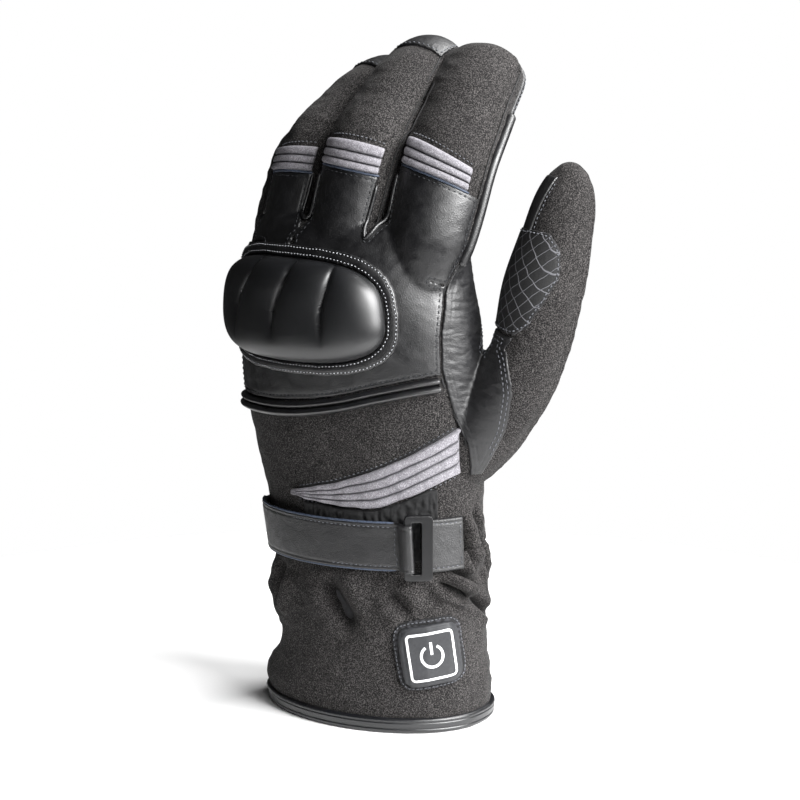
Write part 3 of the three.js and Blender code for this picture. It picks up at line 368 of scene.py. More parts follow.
def stall_point(name, distance, turn, out):
    """A point of a finger or the thumb: turn is 0 at its back and 90 degrees on the thumb's side."""
    stall = STALLS[name]
    distance, turn = np.broadcast_arrays(np.asarray(distance, float), np.asarray(turn, float))
    rounding = TIP_ROUND * stall["length"]
    past = np.clip((distance - stall["length"] + rounding) / (rounding + out), 0, 1)
    shrink = (1 - past**TIP_BLUNTNESS) ** (1 / TIP_BLUNTNESS)
    share = distance / stall["length"]
    point, along, width, back = stall["path"](distance)
    across = (column(stall["taper"], "width", share) * stall["width"] / 2 + out) * shrink
    through = (column(stall["taper"], "depth", share) * stall["depth"] / 2 + out) * shrink
    sine = (across * np.sin(np.radians(turn)))[..., None]
    cosine = (through * np.cos(np.radians(turn)))[..., None]
    return point + width * sine + back * cosine


# Meshes

def make_active(obj):
    bpy.ops.object.select_all(action="DESELECT")
    obj.select_set(True)
    bpy.context.view_layer.objects.active = obj


def new_piece(name, points, faces):
    mesh = bpy.data.meshes.new(name)
    mesh.from_pydata((np.asarray(points) * MM).tolist(), [], faces)
    mesh.update()
    obj = bpy.data.objects.new(name, mesh)
    bpy.context.scene.collection.objects.link(obj)
    return obj


def grid_faces(rows, columns, wrap, ring=False):
    """Quads between the rows of a grid of points, row after row. A ring's last row meets its first."""
    r, c = np.meshgrid(
        np.arange(rows if ring else rows - 1), np.arange(columns if wrap else columns - 1), indexing="ij"
    )
    d = (c + 1) % columns
    s = (r + 1) % rows
    return np.stack(
        [r * columns + c, r * columns + d, s * columns + d, s * columns + c], -1
    ).reshape(-1, 4).tolist()


def tube_piece(name, rings, close_ends=(True, True)):
    """A skin over rings of points, first ring to last, with its ends closed where asked."""
    rows, columns = rings.shape[:2]
    points = list(rings.reshape(-1, 3))
    faces = grid_faces(rows, columns, True)
    for end, row in enumerate((0, rows - 1)):
        if not close_ends[end]:
            continue
        middle = len(points)
        points.append(rings[row].mean(0))
        for c in range(columns):
            pair = [row * columns + c, row * columns + (c + 1) % columns]
            faces.append([middle] + (pair[::-1] if end == 0 else pair))
    return new_piece(name, points, faces)


def painted_groove_shade(piece, values):
    """How deep in a groove or fold each corner lies, 0 to 1, for the painted shade that the material mixes
    in there.
    """
    attribute = piece.data.attributes.new("groove", "FLOAT", "POINT")
    values = np.concatenate([np.ravel(values), np.zeros(len(piece.data.vertices) - np.size(values))])
    attribute.data.foreach_set("value", values.astype(np.float32))


def turned_outwards(obj):
    """Gives a closed mesh outward faces."""
    shape = bmesh.new()
    shape.from_mesh(obj.data)
    bmesh.ops.recalc_face_normals(shape, faces=shape.faces)
    shape.to_mesh(obj.data)
    shape.free()
    return obj


def slab_piece(name, top, bottom):
    """A closed sheet between two grids of points of the same shape."""
    rows, columns = top.shape[:2]
    count = rows * columns
    faces = grid_faces(rows, columns, False)
    faces += [[count + v for v in face[::-1]] for face in faces]
    index = np.arange(count).reshape(rows, columns)
    rim = np.concatenate([index[0], index[1:, -1], index[-1, -2::-1], index[-2:0:-1, 0]])
    faces += [[int(a), int(b), int(count + b), int(count + a)] for a, b in zip(rim, np.roll(rim, -1))]
    return turned_outwards(
        new_piece(name, np.concatenate([top.reshape(-1, 3), bottom.reshape(-1, 3)]), faces)
    )


def ring_piece(name, grid):
    """A closed ring: each row of the grid is a closed outline."""
    faces = grid_faces(*grid.shape[:2], True, True)
    return turned_outwards(new_piece(name, grid.reshape(-1, 3), faces))


def coordinates(obj):
    co = np.empty(len(obj.data.vertices) * 3)
    obj.data.vertices.foreach_get("co", co)
    return co.reshape(-1, 3) / MM


def vertex_normals(obj):
    co = np.empty(len(obj.data.vertices) * 3)
    obj.data.vertices.foreach_get("normal", co)
    return co.reshape(-1, 3)


def set_coordinates(obj, co):
    obj.data.vertices.foreach_set("co", (co * MM).ravel())
    obj.data.update()


def apply_modifier(obj, kind, **settings):
    make_active(obj)
    modifier = obj.modifiers.new(kind.title(), kind)
    for key, value in settings.items():
        setattr(modifier, key, value)
    bpy.ops.object.modifier_apply(modifier=modifier.name)


def copy_of(node, name=None):
    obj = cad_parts[node]
    mesh = obj.data.copy()
    mesh.materials.clear()
    piece = bpy.data.objects.new(name or node + "_piece", mesh)
    bpy.context.scene.collection.objects.link(piece)
    shape = bmesh.new()
    shape.from_mesh(mesh)
    bmesh.ops.remove_doubles(shape, verts=shape.verts, dist=1e-6)
    shape.to_mesh(mesh)
    shape.free()
    return piece


def tree_of(objects):
    """One search tree over the faces of several meshes, in millimetres."""
    points, faces = [], []
    for obj in objects:
        base = len(points)
        points.extend(Vector(c) for c in coordinates(obj))
        faces.extend([base + v for v in face.vertices] for face in obj.data.polygons)
    return BVHTree.FromPolygons(points, faces)


def nearest(tree, points):
    """Nearest places on a tree: their points, outward normals and distances."""
    places = np.empty((len(points), 3))
    normals = np.empty((len(points), 3))
    away = np.empty(len(points))
    for k, point in enumerate(points):
        place, normal, _, distance = tree.find_nearest(Vector(point))
        places[k] = place
        normals[k] = normal
        away[k] = distance
    return places, normals, away


def distance_to(marks, points):
    tree = kdtree.KDTree(len(marks))
    for k, mark in enumerate(marks):
        tree.insert(Vector(mark), k)
    tree.balance()
    return np.array([tree.find(Vector(point))[2] for point in points])


def wrinkles(points, scale, seed):
    """Soft creases, 0 to 1: ridged noise, the same on each run."""
    shift = Vector((seed * 13.7, seed * 7.1, seed * 3.3))
    return np.array([1 - abs(noise.noise(Vector(point) / scale + shift)) * 2 for point in points])


def swells(points, scale, seed):
    shift = Vector((seed * 5.3, seed * 9.7, seed * 1.9))
    return np.array([noise.noise(Vector(point) / scale + shift) for point in points])


def bump(distance, width):
    return np.exp(-((distance / width) ** 2))


def rounded(share):
    """A quarter round, 0 at share 0 and level from share 1 on."""
    return np.sqrt(np.maximum(1 - (1 - np.clip(share, 0, 1)) ** 2, 0))


def smooth_step(value, low, high):
    t = np.clip((value - low) / (high - low), 0, 1)
    return t * t * (3 - 2 * t)


# Lines over the pieces, cords and stitches

def level_lines(piece, field, level):
    """Where a value of a mesh's corners crosses a level: each line's points and normals."""
    mesh = piece.data
    ends = np.empty(len(mesh.edges) * 2, int)
    mesh.edges.foreach_get("vertices", ends)
    a, b = ends.reshape(-1, 2).T
    crossed = (field[a] - level) * (field[b] - level) < 0
    share = np.where(crossed, (level - field[a]) / np.where(crossed, field[b] - field[a], 1), 0)[:, None]
    co = coordinates(piece)
    facing = vertex_normals(piece)
    points = co[a] * (1 - share) + co[b] * share
    normals = facing[a] + facing[b]
    loop_edges = np.empty(len(mesh.loops), int)
    mesh.loops.foreach_get("edge_index", loop_edges)
    totals = np.empty(len(mesh.polygons), int)
    mesh.polygons.foreach_get("loop_total", totals)
    owner = np.repeat(np.arange(len(totals)), totals)
    kept = crossed[loop_edges]
    links = {}
    meeting = {}
    for face, edge in zip(owner[kept].tolist(), loop_edges[kept].tolist()):
        meeting.setdefault(face, []).append(edge)
    for pair in meeting.values():
        if len(pair) == 2:
            links.setdefault(pair[0], []).append(pair[1])
            links.setdefault(pair[1], []).append(pair[0])
    lines = []
    waiting = sorted(links, key=lambda edge: len(links[edge]))
    used = set()
    for first in waiting:
        if first in used:
            continue
        line = [first]
        used.add(first)
        while True:
            onward = [edge for edge in links[line[-1]] if edge not in used]
            if not onward:
                break
            line.append(onward[0])
            used.add(onward[0])
        if len(links[first]) == 2 and len(line) > 8:
            line.append(first)
        if len(line) > 8:
            lines.append((softened(points[line]), normals[line]))
    return lines


def softened(points, rounds=6):
    points = points.copy()
    for _ in range(rounds):
        points[1:-1] = (points[:-2] + 2 * points[1:-1] + points[2:]) / 4
    return points


def smooth_line(marks, step=0.5):
    """A smooth line through marks."""
    marks = np.asarray(marks, float)
    run = np.concatenate([[0], np.cumsum(np.linalg.norm(np.diff(marks, axis=0), axis=1))])
    rows = [dict(zip("xyz", mark), at=at) for mark, at in zip(marks, run)]
    at = np.arange(0, run[-1], step)
    return np.stack([column(rows, axis, at) for axis in "xyz"], -1)


def laid_line(tree, points, out=0.0):
    """A line of points brought onto a surface, with the surface's normals."""
    places, normals, _ = nearest(tree, points)
    return softened(places) + normals * out, normals


def along_line(points, values, pitch):
    run = np.concatenate([[0], np.cumsum(np.linalg.norm(np.diff(points, axis=0), axis=1))])
    at = np.arange(pitch / 2, run[-1] - pitch / 4, pitch)
    return at, lambda stops, values=values: np.stack(
        [np.interp(stops, run, values[:, k]) for k in range(3)], -1
    )


def stitched(name, rows, finish="thread", slot="leather", pitch=2.5, length=1.8, radius=0.24, rise=0.08):
    """Short stitches along lines, one after another, their ends sunk into the cloth."""
    template = []
    for along, size, up in ((-1, 0.45, -0.9), (-0.6, 1, 0.4), (0.6, 1, 0.4), (1, 0.45, -0.9)):
        for k in range(6):
            angle = k * math.pi / 3
            template.append(
                (along * length / 2, math.cos(angle) * size * radius, (math.sin(angle) * size + up) * radius)
            )
    template = np.array(template)
    outline = grid_faces(4, 6, True) + [[5, 4, 3, 2, 1, 0], [18, 19, 20, 21, 22, 23]]
    points, faces = [], []
    for line, facing in rows:
        at, read = along_line(line, line, pitch)
        if len(at) < 2:
            continue
        centre = read(at)
        tangent = unit(read(at + length / 2) - read(at - length / 2))
        normal = unit(read(at, facing))
        side = unit(np.cross(normal, tangent))
        for c, t, s, n in zip(centre, tangent, side, unit(np.cross(tangent, side))):
            base = len(points) * 24
            points.append(c + n * rise + template @ np.array([t, s, n]))
            faces.extend([base + v for v in face] for face in outline)
    return finished(new_piece(name, np.concatenate(points), faces), finish, slot)


def cord_piece(name, line, facing, radius, finish, slot, sides=8, flat=1.0):
    """A fine cord or cut edge along a line, tapered at its ends."""
    tangent = unit(np.gradient(line, axis=0))
    side = unit(np.cross(facing, tangent))
    up = np.cross(tangent, side)
    angle = np.linspace(0, 2 * np.pi, sides + 1)[:-1]
    ends = np.minimum(np.arange(len(line)), np.arange(len(line))[::-1])
    size = radius * np.sqrt(np.clip((ends + 0.4) / 4, 0, 1))[:, None, None]
    rings = line[:, None] + size * (
        side[:, None] * np.cos(angle)[None, :, None] + up[:, None] * np.sin(angle)[None, :, None] * flat
    )
    return finished(tube_piece(name, rings), finish, slot)


# Materials

def hexed(value):
    """A colour on screen, as red, green and blue from 0 to 255, made linear."""
    return tuple(
        (c / 255 / 12.92) if c <= 10 else ((c / 255 + 0.055) / 1.055) ** 2.4 for c in value
    ) + (1.0,)


class Finish:
    """A procedural material that is built up node by node on object coordinates."""

    def __init__(self, name, roughness=0.6, **inputs):
        self.material = bpy.data.materials.new(name)
        self.material.use_nodes = True
        self.nodes = self.material.node_tree.nodes
        self.links = self.material.node_tree.links
        self.shader = self.nodes["Principled BSDF"]
        self.shader.inputs["Roughness"].default_value = roughness
        for key, value in inputs.items():
            self.shader.inputs[key.replace("_", " ")].default_value = value
        self.place = self.nodes.new("ShaderNodeTexCoord").outputs["Object"]

    def add(self, kind, inputs=None, **settings):
        node = self.nodes.new(kind)
        for key, value in settings.items():
            setattr(node, key, value)
        for key, value in (inputs or {}).items():
            if isinstance(value, bpy.types.NodeSocket):
                self.links.new(value, node.inputs[key])
            else:
                node.inputs[key].default_value = value
        return node

    def noise(self, scale, detail=2.0, rough=0.5, stretch=None, distortion=0.0):
        where = self.place
        if stretch:
            where = self.add("ShaderNodeMapping", {"Vector": self.place, "Scale": stretch}).outputs["Vector"]
        return self.add(
            "ShaderNodeTexNoise",
            {
                "Vector": where, "Scale": scale, "Detail": detail, "Roughness": rough,
                "Distortion": distortion
            },
        ).outputs["Fac"]

    def cells(self, scale, feature="DISTANCE_TO_EDGE", randomness=1.0):
        inputs = {"Vector": self.place, "Scale": scale, "Randomness": randomness}
        return self.add("ShaderNodeTexVoronoi", inputs, feature=feature).outputs["Distance"]

    def ramp(self, fac, stops, interpolation="LINEAR"):
        node = self.add("ShaderNodeValToRGB", {"Fac": fac})
        node.color_ramp.interpolation = interpolation
        elements = node.color_ramp.elements
        while len(elements) < len(stops):
            elements.new(0.5)
        for element, (position, colour) in zip(elements, stops):
            element.position = position
            element.color = colour if isinstance(colour, tuple) else (colour, colour, colour, 1)
        return node.outputs["Color"]

    def maths(self, operation, a, b=0.5, clamp=False):
        return self.add(
            "ShaderNodeMath", {0: a, 1: b}, operation=operation, use_clamp=clamp
        ).outputs["Value"]

    def mix(self, fac, a, b, blend="MIX"):
        node = self.add("ShaderNodeMix", data_type="RGBA", blend_type=blend)
        for key, value in ((0, fac), (6, a), (7, b)):
            if isinstance(value, bpy.types.NodeSocket):
                self.links.new(value, node.inputs[key])
            else:
                node.inputs[key].default_value = value
        return node.outputs[2]

    def colour(self, socket):
        self.links.new(socket, self.shader.inputs["Base Color"])

    def rough(self, socket):
        self.links.new(socket, self.shader.inputs["Roughness"])

    def relief(self, socket, strength, distance=0.3):
        node = self.add(
            "ShaderNodeBump", {"Height": socket, "Strength": strength, "Distance": distance * MM}
        )
        self.links.new(node.outputs["Normal"], self.shader.inputs["Normal"])


def softshell_finish():
    """Matt cloth speckled light on dark, with painted shade deep in its folds from the groove attribute."""
    f = Finish("speckled softshell", 0.92, Specular_IOR_Level=0.12)
    f.shader.inputs["Sheen Weight"].default_value = 0.03
    f.shader.inputs["Sheen Roughness"].default_value = 0.5
    fine = f.noise(2500, 2, 0.75)
    patch = f.noise(45, 3, 0.5)
    flecks = f.ramp(
        fine, [(0.34, hexed((10, 10, 10))), (0.5, hexed((30, 29, 29))), (0.68, hexed((98, 95, 94)))]
    )
    cloth = f.mix(f.ramp(patch, [(0.35, 0.0), (0.7, 0.3)]), flecks, hexed((25, 24, 24)))
    # Painted shade: near-black mixed into the cloth's colour deep in its creases and folds.
    groove = f.add("ShaderNodeAttribute", attribute_name="groove").outputs["Fac"]
    f.colour(f.mix(groove, cloth, hexed((3, 3, 3))))
    f.relief(f.noise(2600, 2, 0.7), 0.4, 0.14)
    return f.material


def leather_finish(name, base, light, gloss, grain=0.3, sheen=0.8):
    f = Finish(name, gloss, Specular_IOR_Level=sheen)
    cells = f.cells(1250)
    pores = f.noise(2600, 2, 0.6)
    creases = f.noise(110, 4, 0.6, distortion=0.6)
    f.colour(f.mix(f.ramp(creases, [(0.35, 0.0), (0.75, 0.7)]), hexed(base), hexed(light)))
    f.rough(f.ramp(f.noise(260, 3), [(0.3, gloss - 0.05), (0.7, gloss + 0.09)]))
    height = f.maths("ADD", f.maths("MULTIPLY", f.ramp(cells, [(0.0, 0.0), (0.3, 1.0)]), 0.55), pores)
    f.relief(height, grain, 0.14)
    return f.material


def rib_finish():
    """Heathered grey cloth, with painted shade in the grooves between its ribs from the groove attribute."""
    f = Finish("heathered reflective cloth", 0.72, Specular_IOR_Level=0.4)
    weave = f.noise(2600, 2, 0.7)
    melange = f.noise(600, 3, 0.6)
    pale = f.ramp(
        weave, [(0.3, hexed((84, 82, 88))), (0.5, hexed((124, 122, 127))), (0.7, hexed((168, 165, 170)))]
    )
    cloth = f.mix(f.ramp(melange, [(0.4, 0.0), (0.65, 0.35)]), pale, hexed((88, 86, 92)))
    # Painted shade: dark grey mixed into the cloth's colour in the grooves between the ribs.
    groove = f.add("ShaderNodeAttribute", attribute_name="groove").outputs["Fac"]
    f.colour(f.mix(groove, cloth, hexed((34, 34, 38))))
    f.relief(f.noise(2400, 2, 0.7), 0.5, 0.16)
    return f.material


def plain_finish(name, dark, light, roughness, scale=400, strength=0.2, **inputs):
    f = Finish(name, roughness, **inputs)
    f.colour(f.ramp(f.noise(scale, 4, 0.6), [(0.3, hexed(dark)), (0.7, hexed(light))]))
    f.relief(f.noise(scale * 3, 3, 0.6), strength, 0.12)
    return f.material


def woven_finish(name, dark, light, scale=900):
    """Plain weave: two sets of ribs across each other."""
    f = Finish(name, 0.85)
    parts = [
        f.add(
            "ShaderNodeTexWave", {"Vector": f.place, "Scale": scale / 6, "Distortion": 0.6},
            bands_direction=axis
        )
        for axis in ("X", "Z")
    ]
    weave = f.maths("MULTIPLY", parts[0].outputs["Fac"], parts[1].outputs["Fac"])
    f.colour(f.ramp(weave, [(0.1, hexed(dark)), (0.8, hexed(light))]))
    f.relief(weave, 0.6, 0.25)
    return f.material


def net_finish():
    """Black cloth under a net of pale thread in diamonds."""
    f = Finish("diamond net", 0.72)
    ripple = f.add("ShaderNodeTexNoise", {"Vector": f.place, "Scale": 160.0, "Detail": 1.0}).outputs["Color"]
    moved = f.add("ShaderNodeVectorMath", {0: ripple, 1: (0.0016, 0.0016, 0.0016)}, operation="MULTIPLY")
    place = f.add("ShaderNodeVectorMath", {0: f.place, 1: moved.outputs[0]}, operation="ADD").outputs[0]
    turned = f.add(
        "ShaderNodeMapping", {"Vector": place, "Rotation": (0.0, math.radians(38), math.radians(35))}
    ).outputs["Vector"]
    threads = []
    for axis in ("X", "Z"):
        wave = f.add(
            "ShaderNodeTexWave", {"Vector": turned, "Scale": 88.0, "Distortion": 0.3}, bands_direction=axis
        )
        threads.append(f.ramp(wave.outputs["Fac"], [(0.975, 0.0), (0.998, 1.0)]))
    net = f.maths("MAXIMUM", threads[0], threads[1])
    ground = f.ramp(f.noise(900, 3), [(0.35, hexed((5, 5, 6))), (0.7, hexed((13, 13, 15)))])
    f.colour(f.mix(net, ground, hexed((86, 86, 90))))
    f.relief(f.maths("ADD", net, f.maths("MULTIPLY", f.noise(1600), 0.5)), 0.7, 0.3)
    return f.material


FINISH = {
    "softshell": softshell_finish(),
    "leather": leather_finish("black leather", (6, 6, 8), (12, 12, 15), 0.39, sheen=1.0),
    "tip leather": leather_finish("tip leather", (7, 7, 9), (15, 15, 18), 0.5),
    "strap leather": leather_finish("strap leather", (9, 9, 11), (22, 22, 25), 0.48, 0.5),
    "palm leather": leather_finish("palm leather", (18, 18, 20), (30, 30, 32), 0.52),
    "side leather": leather_finish("side leather", (9, 9, 11), (20, 20, 23), 0.48, 0.5, sheen=0.7),
    "ribs": rib_finish(),
    "guard": plain_finish("moulded guard", (6, 7, 9), (11, 12, 15), 0.42, 120, 0.1, Specular_IOR_Level=0.9),
    "elastic": plain_finish("gathered elastic", (4, 4, 5), (13, 13, 15), 0.85, 1400, 0.9),
    "webbing": woven_finish("woven tape", (14, 14, 16), (50, 50, 54)),
    "loop": plain_finish("moulded loop", (8, 8, 10), (15, 15, 17), 0.36, 250, 0.12),
    "binding": leather_finish("hem binding", (9, 10, 13), (18, 19, 23), 0.34, 0.15),
    "net": net_finish(),
    "rubber": plain_finish("switch rubber", (30, 31, 34), (42, 43, 46), 0.6, 900, 0.25),
    "print": plain_finish("white print", (222, 222, 224), (242, 242, 244), 0.5, 900, 0.1),
    "thread": plain_finish("pale thread", (44, 46, 50), (112, 114, 120), 0.7, 2500, 0.5),
    # Painted glints: pale colour standing for the sparkle on the guard border's black stitches.
    "painted glint thread": plain_finish("painted glint thread", (104, 106, 112), (206, 208, 212), 0.5, 2500, 0.5),
    "dark thread": plain_finish("dark thread", (20, 21, 23), (44, 46, 50), 0.6, 2500, 0.4),
    "seam": plain_finish("seam thread", (8, 8, 9), (18, 18, 20), 0.7, 2500, 0.4),
    "cut edge": plain_finish("cut leather edge", (34, 42, 56), (74, 84, 102), 0.5, 1500, 0.4),
    "lining": plain_finish("brushed lining", (22, 22, 24), (38, 38, 40), 0.95, 900, 0.6),
}


def finished(piece, finish, slot, *replaces, smooth=True):
    piece.data.materials.clear()
    piece.data.materials.append(FINISH[finish])
    if smooth:
        piece.data.polygons.foreach_set("use_smooth", [True] * len(piece.data.polygons))
    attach(piece, "root")
    if replaces:
        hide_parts(*replaces)
    return piece


# The hollow inside, which the outer skins are trimmed to

TURNS = np.linspace(-180, 180, 97)[:-1]


def closed_form(out, name, rooted=False):
    """
    One part of the glove as a closed solid, its surface moved outwards by out.
    A rooted finger narrows on into the hand, so that it leaves the hand without a step.
    """
    if name == "hand":
        heights = np.concatenate(
            [np.linspace(CUFF_LENGTH - 4, FORK, 40), FORK + TOP_ROUND * np.array([0.3, 0.6, 0.85, 0.95])]
        )
        rings = [wall_point(TURNS, z, out) for z in heights]
    elif name == "cuff":
        rings = [cuff_point(TURNS, z, out) for z in np.linspace(-6, CUFF_LENGTH, 32)]
    else:
        stall = STALLS[name]
        end = stall["length"] + out
        stops = np.concatenate(
            [np.linspace(stall["foot"], end - 6, 40), end - 6 * (1 - np.sin(np.linspace(0.1, 1.5, 8)))]
        )
        rings = [stall_point(name, stop, TURNS, out) for stop in stops]
        if rooted and name != "thumb":
            foot, deep = rings[0], stall_point(name, stall["foot"] - 9.5, TURNS, out).mean(0) - [0, 0, 14]
            rings = [foot + (deep - foot) * share for share in (0.97, 0.8, 0.6, 0.4, 0.2)] + rings
    return tube_piece("form_" + name, np.array(rings))


def joined(pieces, name):
    make_active(pieces[0])
    for piece in pieces[1:]:
        piece.select_set(True)
    bpy.ops.object.join()
    pieces[0].name = name
    pieces[0].data.name = name
    return pieces[0]


PARTS = ["hand", "cuff", "index", "middle", "ring", "little", "thumb"]
lining = joined([closed_form(-WALL, part) for part in PARTS], "inner_lining")
apply_modifier(lining, "REMESH", mode="VOXEL", voxel_size=1.4 * MM)
apply_modifier(lining, "SMOOTH", factor=0.5, iterations=3)
hollow_tree = tree_of([lining])


def in_hollow(points, depth=0.6):
    places, normals, _ = nearest(hollow_tree, points)
    return ((points - places) * normals).sum(1) < -depth


def drop_inside(obj, hidden):
    """Deletes the faces of which every corner is marked as hidden."""
    shape = bmesh.new()
    shape.from_mesh(obj.data)
    shape.verts.ensure_lookup_table()
    gone = [face for face in shape.faces if all(hidden[v.index] for v in face.verts)]
    bmesh.ops.delete(shape, geom=gone, context="FACES")
    shape.to_mesh(obj.data)
    shape.free()


# Outer skins of softshell

def seam_relief(turn, at, radius, width=0.8, depth=0.9, welt=0.5):
    """A sewn groove that runs along a tube at one turn, with a soft welt on both sides."""
    away = np.abs((turn - at + 180) % 360 - 180) * np.pi / 180 * radius
    return -depth * bump(away, width) + welt * bump(away - 1.9, 1.1)


def crease_lift(turn, z):
    """
    Sharp creases of the cloth, each with a soft roll of cloth along it.
    Also gives how deep in a crease each place is, for the painted shade in the creases.
    """
    lift = np.zeros(np.broadcast(turn, z).shape)
    deep = np.zeros(lift.shape)
    for crease in CREASES:
        for whole in (-360, 0, 360):
            px = (turn + whole - crease["turn"]) * 0.72
            pz = z - crease["z"]
            vx = (crease["to_turn"] - crease["turn"]) * 0.72
            vz = crease["to_z"] - crease["z"]
            length = math.hypot(vx, vz)
            along = (px * vx + pz * vz) / length
            aside = (px * vz - pz * vx) / length
            fade = smooth_step(along, -1, length * 0.3) * smooth_step(-along, -length - 1, -length * 0.65)
            width = crease["width"]
            roll = 0.6 * np.exp(-(((np.abs(aside) - width - 2.2) / (0.8 * width + 1.6)) ** 2))
            lift += 2.6 * crease["depth"] * fade * (roll - np.exp(-((aside / width) ** 2)))
            # How deep in the crease: this sets the painted shade there.
            deep = np.maximum(deep, 0.5 * crease["depth"] * fade * np.exp(-((aside / (0.75 * width)) ** 2)))
    return lift, np.clip(deep, 0, 0.85)


SEAM_TURNS = {
    "index": (-66, 66), "middle": (-62, 64), "ring": (-62, 64), "little": (-62, 64), "thumb": (-118, 62)
}


def finger_skin(name):
    stall = STALLS[name]
    turns = np.linspace(-180, 180, 161)[:-1]
    tip = stall["length"] - TIP_ROUND * stall["length"]
    round_off = TIP_ROUND * stall["length"] * np.sin(np.linspace(0, 1.54, 24)[1:])
    stops = np.concatenate([np.linspace(stall["foot"], tip, 150), tip + round_off])
    distance, turn = np.meshgrid(stops, turns, indexing="ij")
    base = stall_point(name, distance, turn, 0.0)
    lift = np.zeros_like(distance)
    radius = stall["width"] / 2
    for at in SEAM_TURNS[name]:
        lift += seam_relief(turn, at, radius) * np.clip((stall["length"] - distance) / 8, 0, 1)
    flat = base.reshape(-1, 3)
    lift += 0.4 * swells(flat * [1, 1, 0.6], 9, 3).reshape(lift.shape)
    lift += 0.3 * wrinkles(flat * [0.6, 0.6, 1.4], 6, 5).reshape(lift.shape)
    rings = base + lift[..., None] * outward(base)
    return tube_piece(name + "_skin", rings, (False, True))


def outward(grid):
    """Unit normals of a grid of points that wraps round in its second direction."""
    across = np.roll(grid, -1, 1) - np.roll(grid, 1, 1)
    along = np.gradient(grid, axis=0)
    normal = np.cross(across, along)
    length = np.linalg.norm(normal, axis=-1, keepdims=True)
    return normal / np.maximum(length, 1e-9)


def hand_skin():
    turns = np.linspace(-180, 180, 261)[:-1]
    top = FORK + TOP_ROUND * np.linspace(0, 1, 12)[1:]
    heights = np.concatenate([np.linspace(CUFF_LENGTH, FORK, 150), top[:-1], [top[-1] - 0.01]])
    z, turn = np.meshgrid(heights, turns, indexing="ij")
    base = hand_point(turn, z, 0.0)
    flat = base.reshape(-1, 3)
    lift = 0.5 * swells(flat, 16, 11) + 0.35 * wrinkles(flat * [1, 1, 1.5], 9, 12) - 0.2
    folds, deep = crease_lift(turn, z)
    lift = lift.reshape(z.shape) + folds - 0.7 * bump(z - CUFF_LENGTH, 1.2)
    skin = tube_piece("hand_skin", base + lift[..., None] * outward(base), (False, True))
    # Painted shade in the creases, for the softshell's colour.
    painted_groove_shade(skin, deep)
    return skin


def cuff_skin():
    turns = np.linspace(-180, 180, 341)[:-1]
    z, turn = np.meshgrid(np.linspace(2, CUFF_LENGTH, 140), turns, indexing="ij")
    base = cuff_point(turn, z, 0.0)
    flat = base.reshape(-1, 3)
    lift = 0.9 * swells(flat * [1, 1, 0.8], 14, 21) + 0.5 * wrinkles(flat * [0.8, 0.8, 1.5], 8, 22) - 0.3
    folds, deep = crease_lift(turn, z)
    lift = (lift.reshape(z.shape) + folds) * np.clip((z - 6) / 8, 0.05, 1)
    lift += -0.7 * bump(z - CUFF_LENGTH, 1.2)
    skin = tube_piece("cuff_skin", base + lift[..., None] * outward(base), (False, False))
    # Painted shade in the creases, for the softshell's colour.
    painted_groove_shade(skin, deep)
    return skin


SKINS = {"hand_shell": hand_skin(), "cuff": cuff_skin()}
for finger in STALLS:
    SKINS[finger + "_stall"] = finger_skin(finger)
for node, skin in SKINS.items():
    drop_inside(skin, in_hollow(coordinates(skin)))
    finished(skin, "softshell", "softshell", node)

# The lining is what is left of the hollow's own surface, seen from inside
shape = bmesh.new()
shape.from_mesh(lining.data)
bmesh.ops.delete(shape, geom=[v for v in shape.verts if v.co.z < 1.0 * MM], context="VERTS")
bmesh.ops.reverse_faces(shape, faces=shape.faces)
shape.to_mesh(lining.data)
shape.free()
finished(lining, "lining", "softshell")

# The glove's whole outside with its forks softened, which leather lies over
body = joined([closed_form(0.0, part, True) for part in PARTS], "glove_body")
apply_modifier(body, "REMESH", mode="VOXEL", voxel_size=1.0 * MM)
apply_modifier(body, "SMOOTH", factor=0.5, iterations=14)
body_tree = tree_of([body])
bpy.data.objects.remove(body)
skin_tree = tree_of(SKINS.values())
wall_tree = tree_of([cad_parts[node] for node in SKINS])


# Panels laid on the skins

def laid(
    node, voxel=0.5, top=1.1, edge=1.1, sink=0.6, base=0.3, thickness=1.1, rounds=8, channels=(), relief=None
):
    """
    The plain solid as sewn work: fine, with rounded edges and stitch channels, lying on the smooth skin.
    Also gives each corner's distance from the piece's rim, for the stitches.
    """
    piece = copy_of(node)
    apply_modifier(piece, "REMESH", mode="VOXEL", voxel_size=voxel * MM)
    points = coordinates(piece)
    _, _, height = nearest(wall_tree, points)
    upper = np.clip((height - base - thickness * 0.15) / (thickness * 0.7), 0, 1)
    apply_modifier(piece, "SMOOTH", factor=0.5, iterations=rounds)
    points = coordinates(piece)
    places, normals, _ = nearest(body_tree, points)
    outwards = (vertex_normals(piece) * normals).sum(1)
    upper = np.maximum(upper, smooth_step(outwards, 0.45, 0.75))
    rim = points[(upper > 0.15) & (upper < 0.85)]
    away = distance_to(rim, points)
    rise = top * (0.35 + 0.65 * rounded(away / edge))
    for at, depth in channels:
        rise -= depth * bump(away - at, 0.4)
    if relief:
        rise = rise + relief(places, away) * np.clip(away / edge, 0, 1)
    set_coordinates(piece, places + normals * (rise * upper - sink * (1 - upper))[:, None])
    apply_modifier(piece, "SMOOTH", factor=0.4, iterations=3)
    return piece, np.where(upper > 0.9, away, np.nan)


def leather_relief(places, away):
    return 0.25 * swells(places, 13, 31) + 0.07 * wrinkles(places, 5, 32)


def side_relief(places, away):
    """Fine wrinkles that run across the side panel."""
    slanted = places * [0.5, 0.5, 1.6] + places[:, [2, 2, 0]] * [0.25, 0.25, 0.5]
    return (
        0.25 * swells(places, 12, 33) + 0.2 * wrinkles(slanted, 2.2, 34) + 0.12 * wrinkles(slanted, 5, 36)
        - 0.2
    )


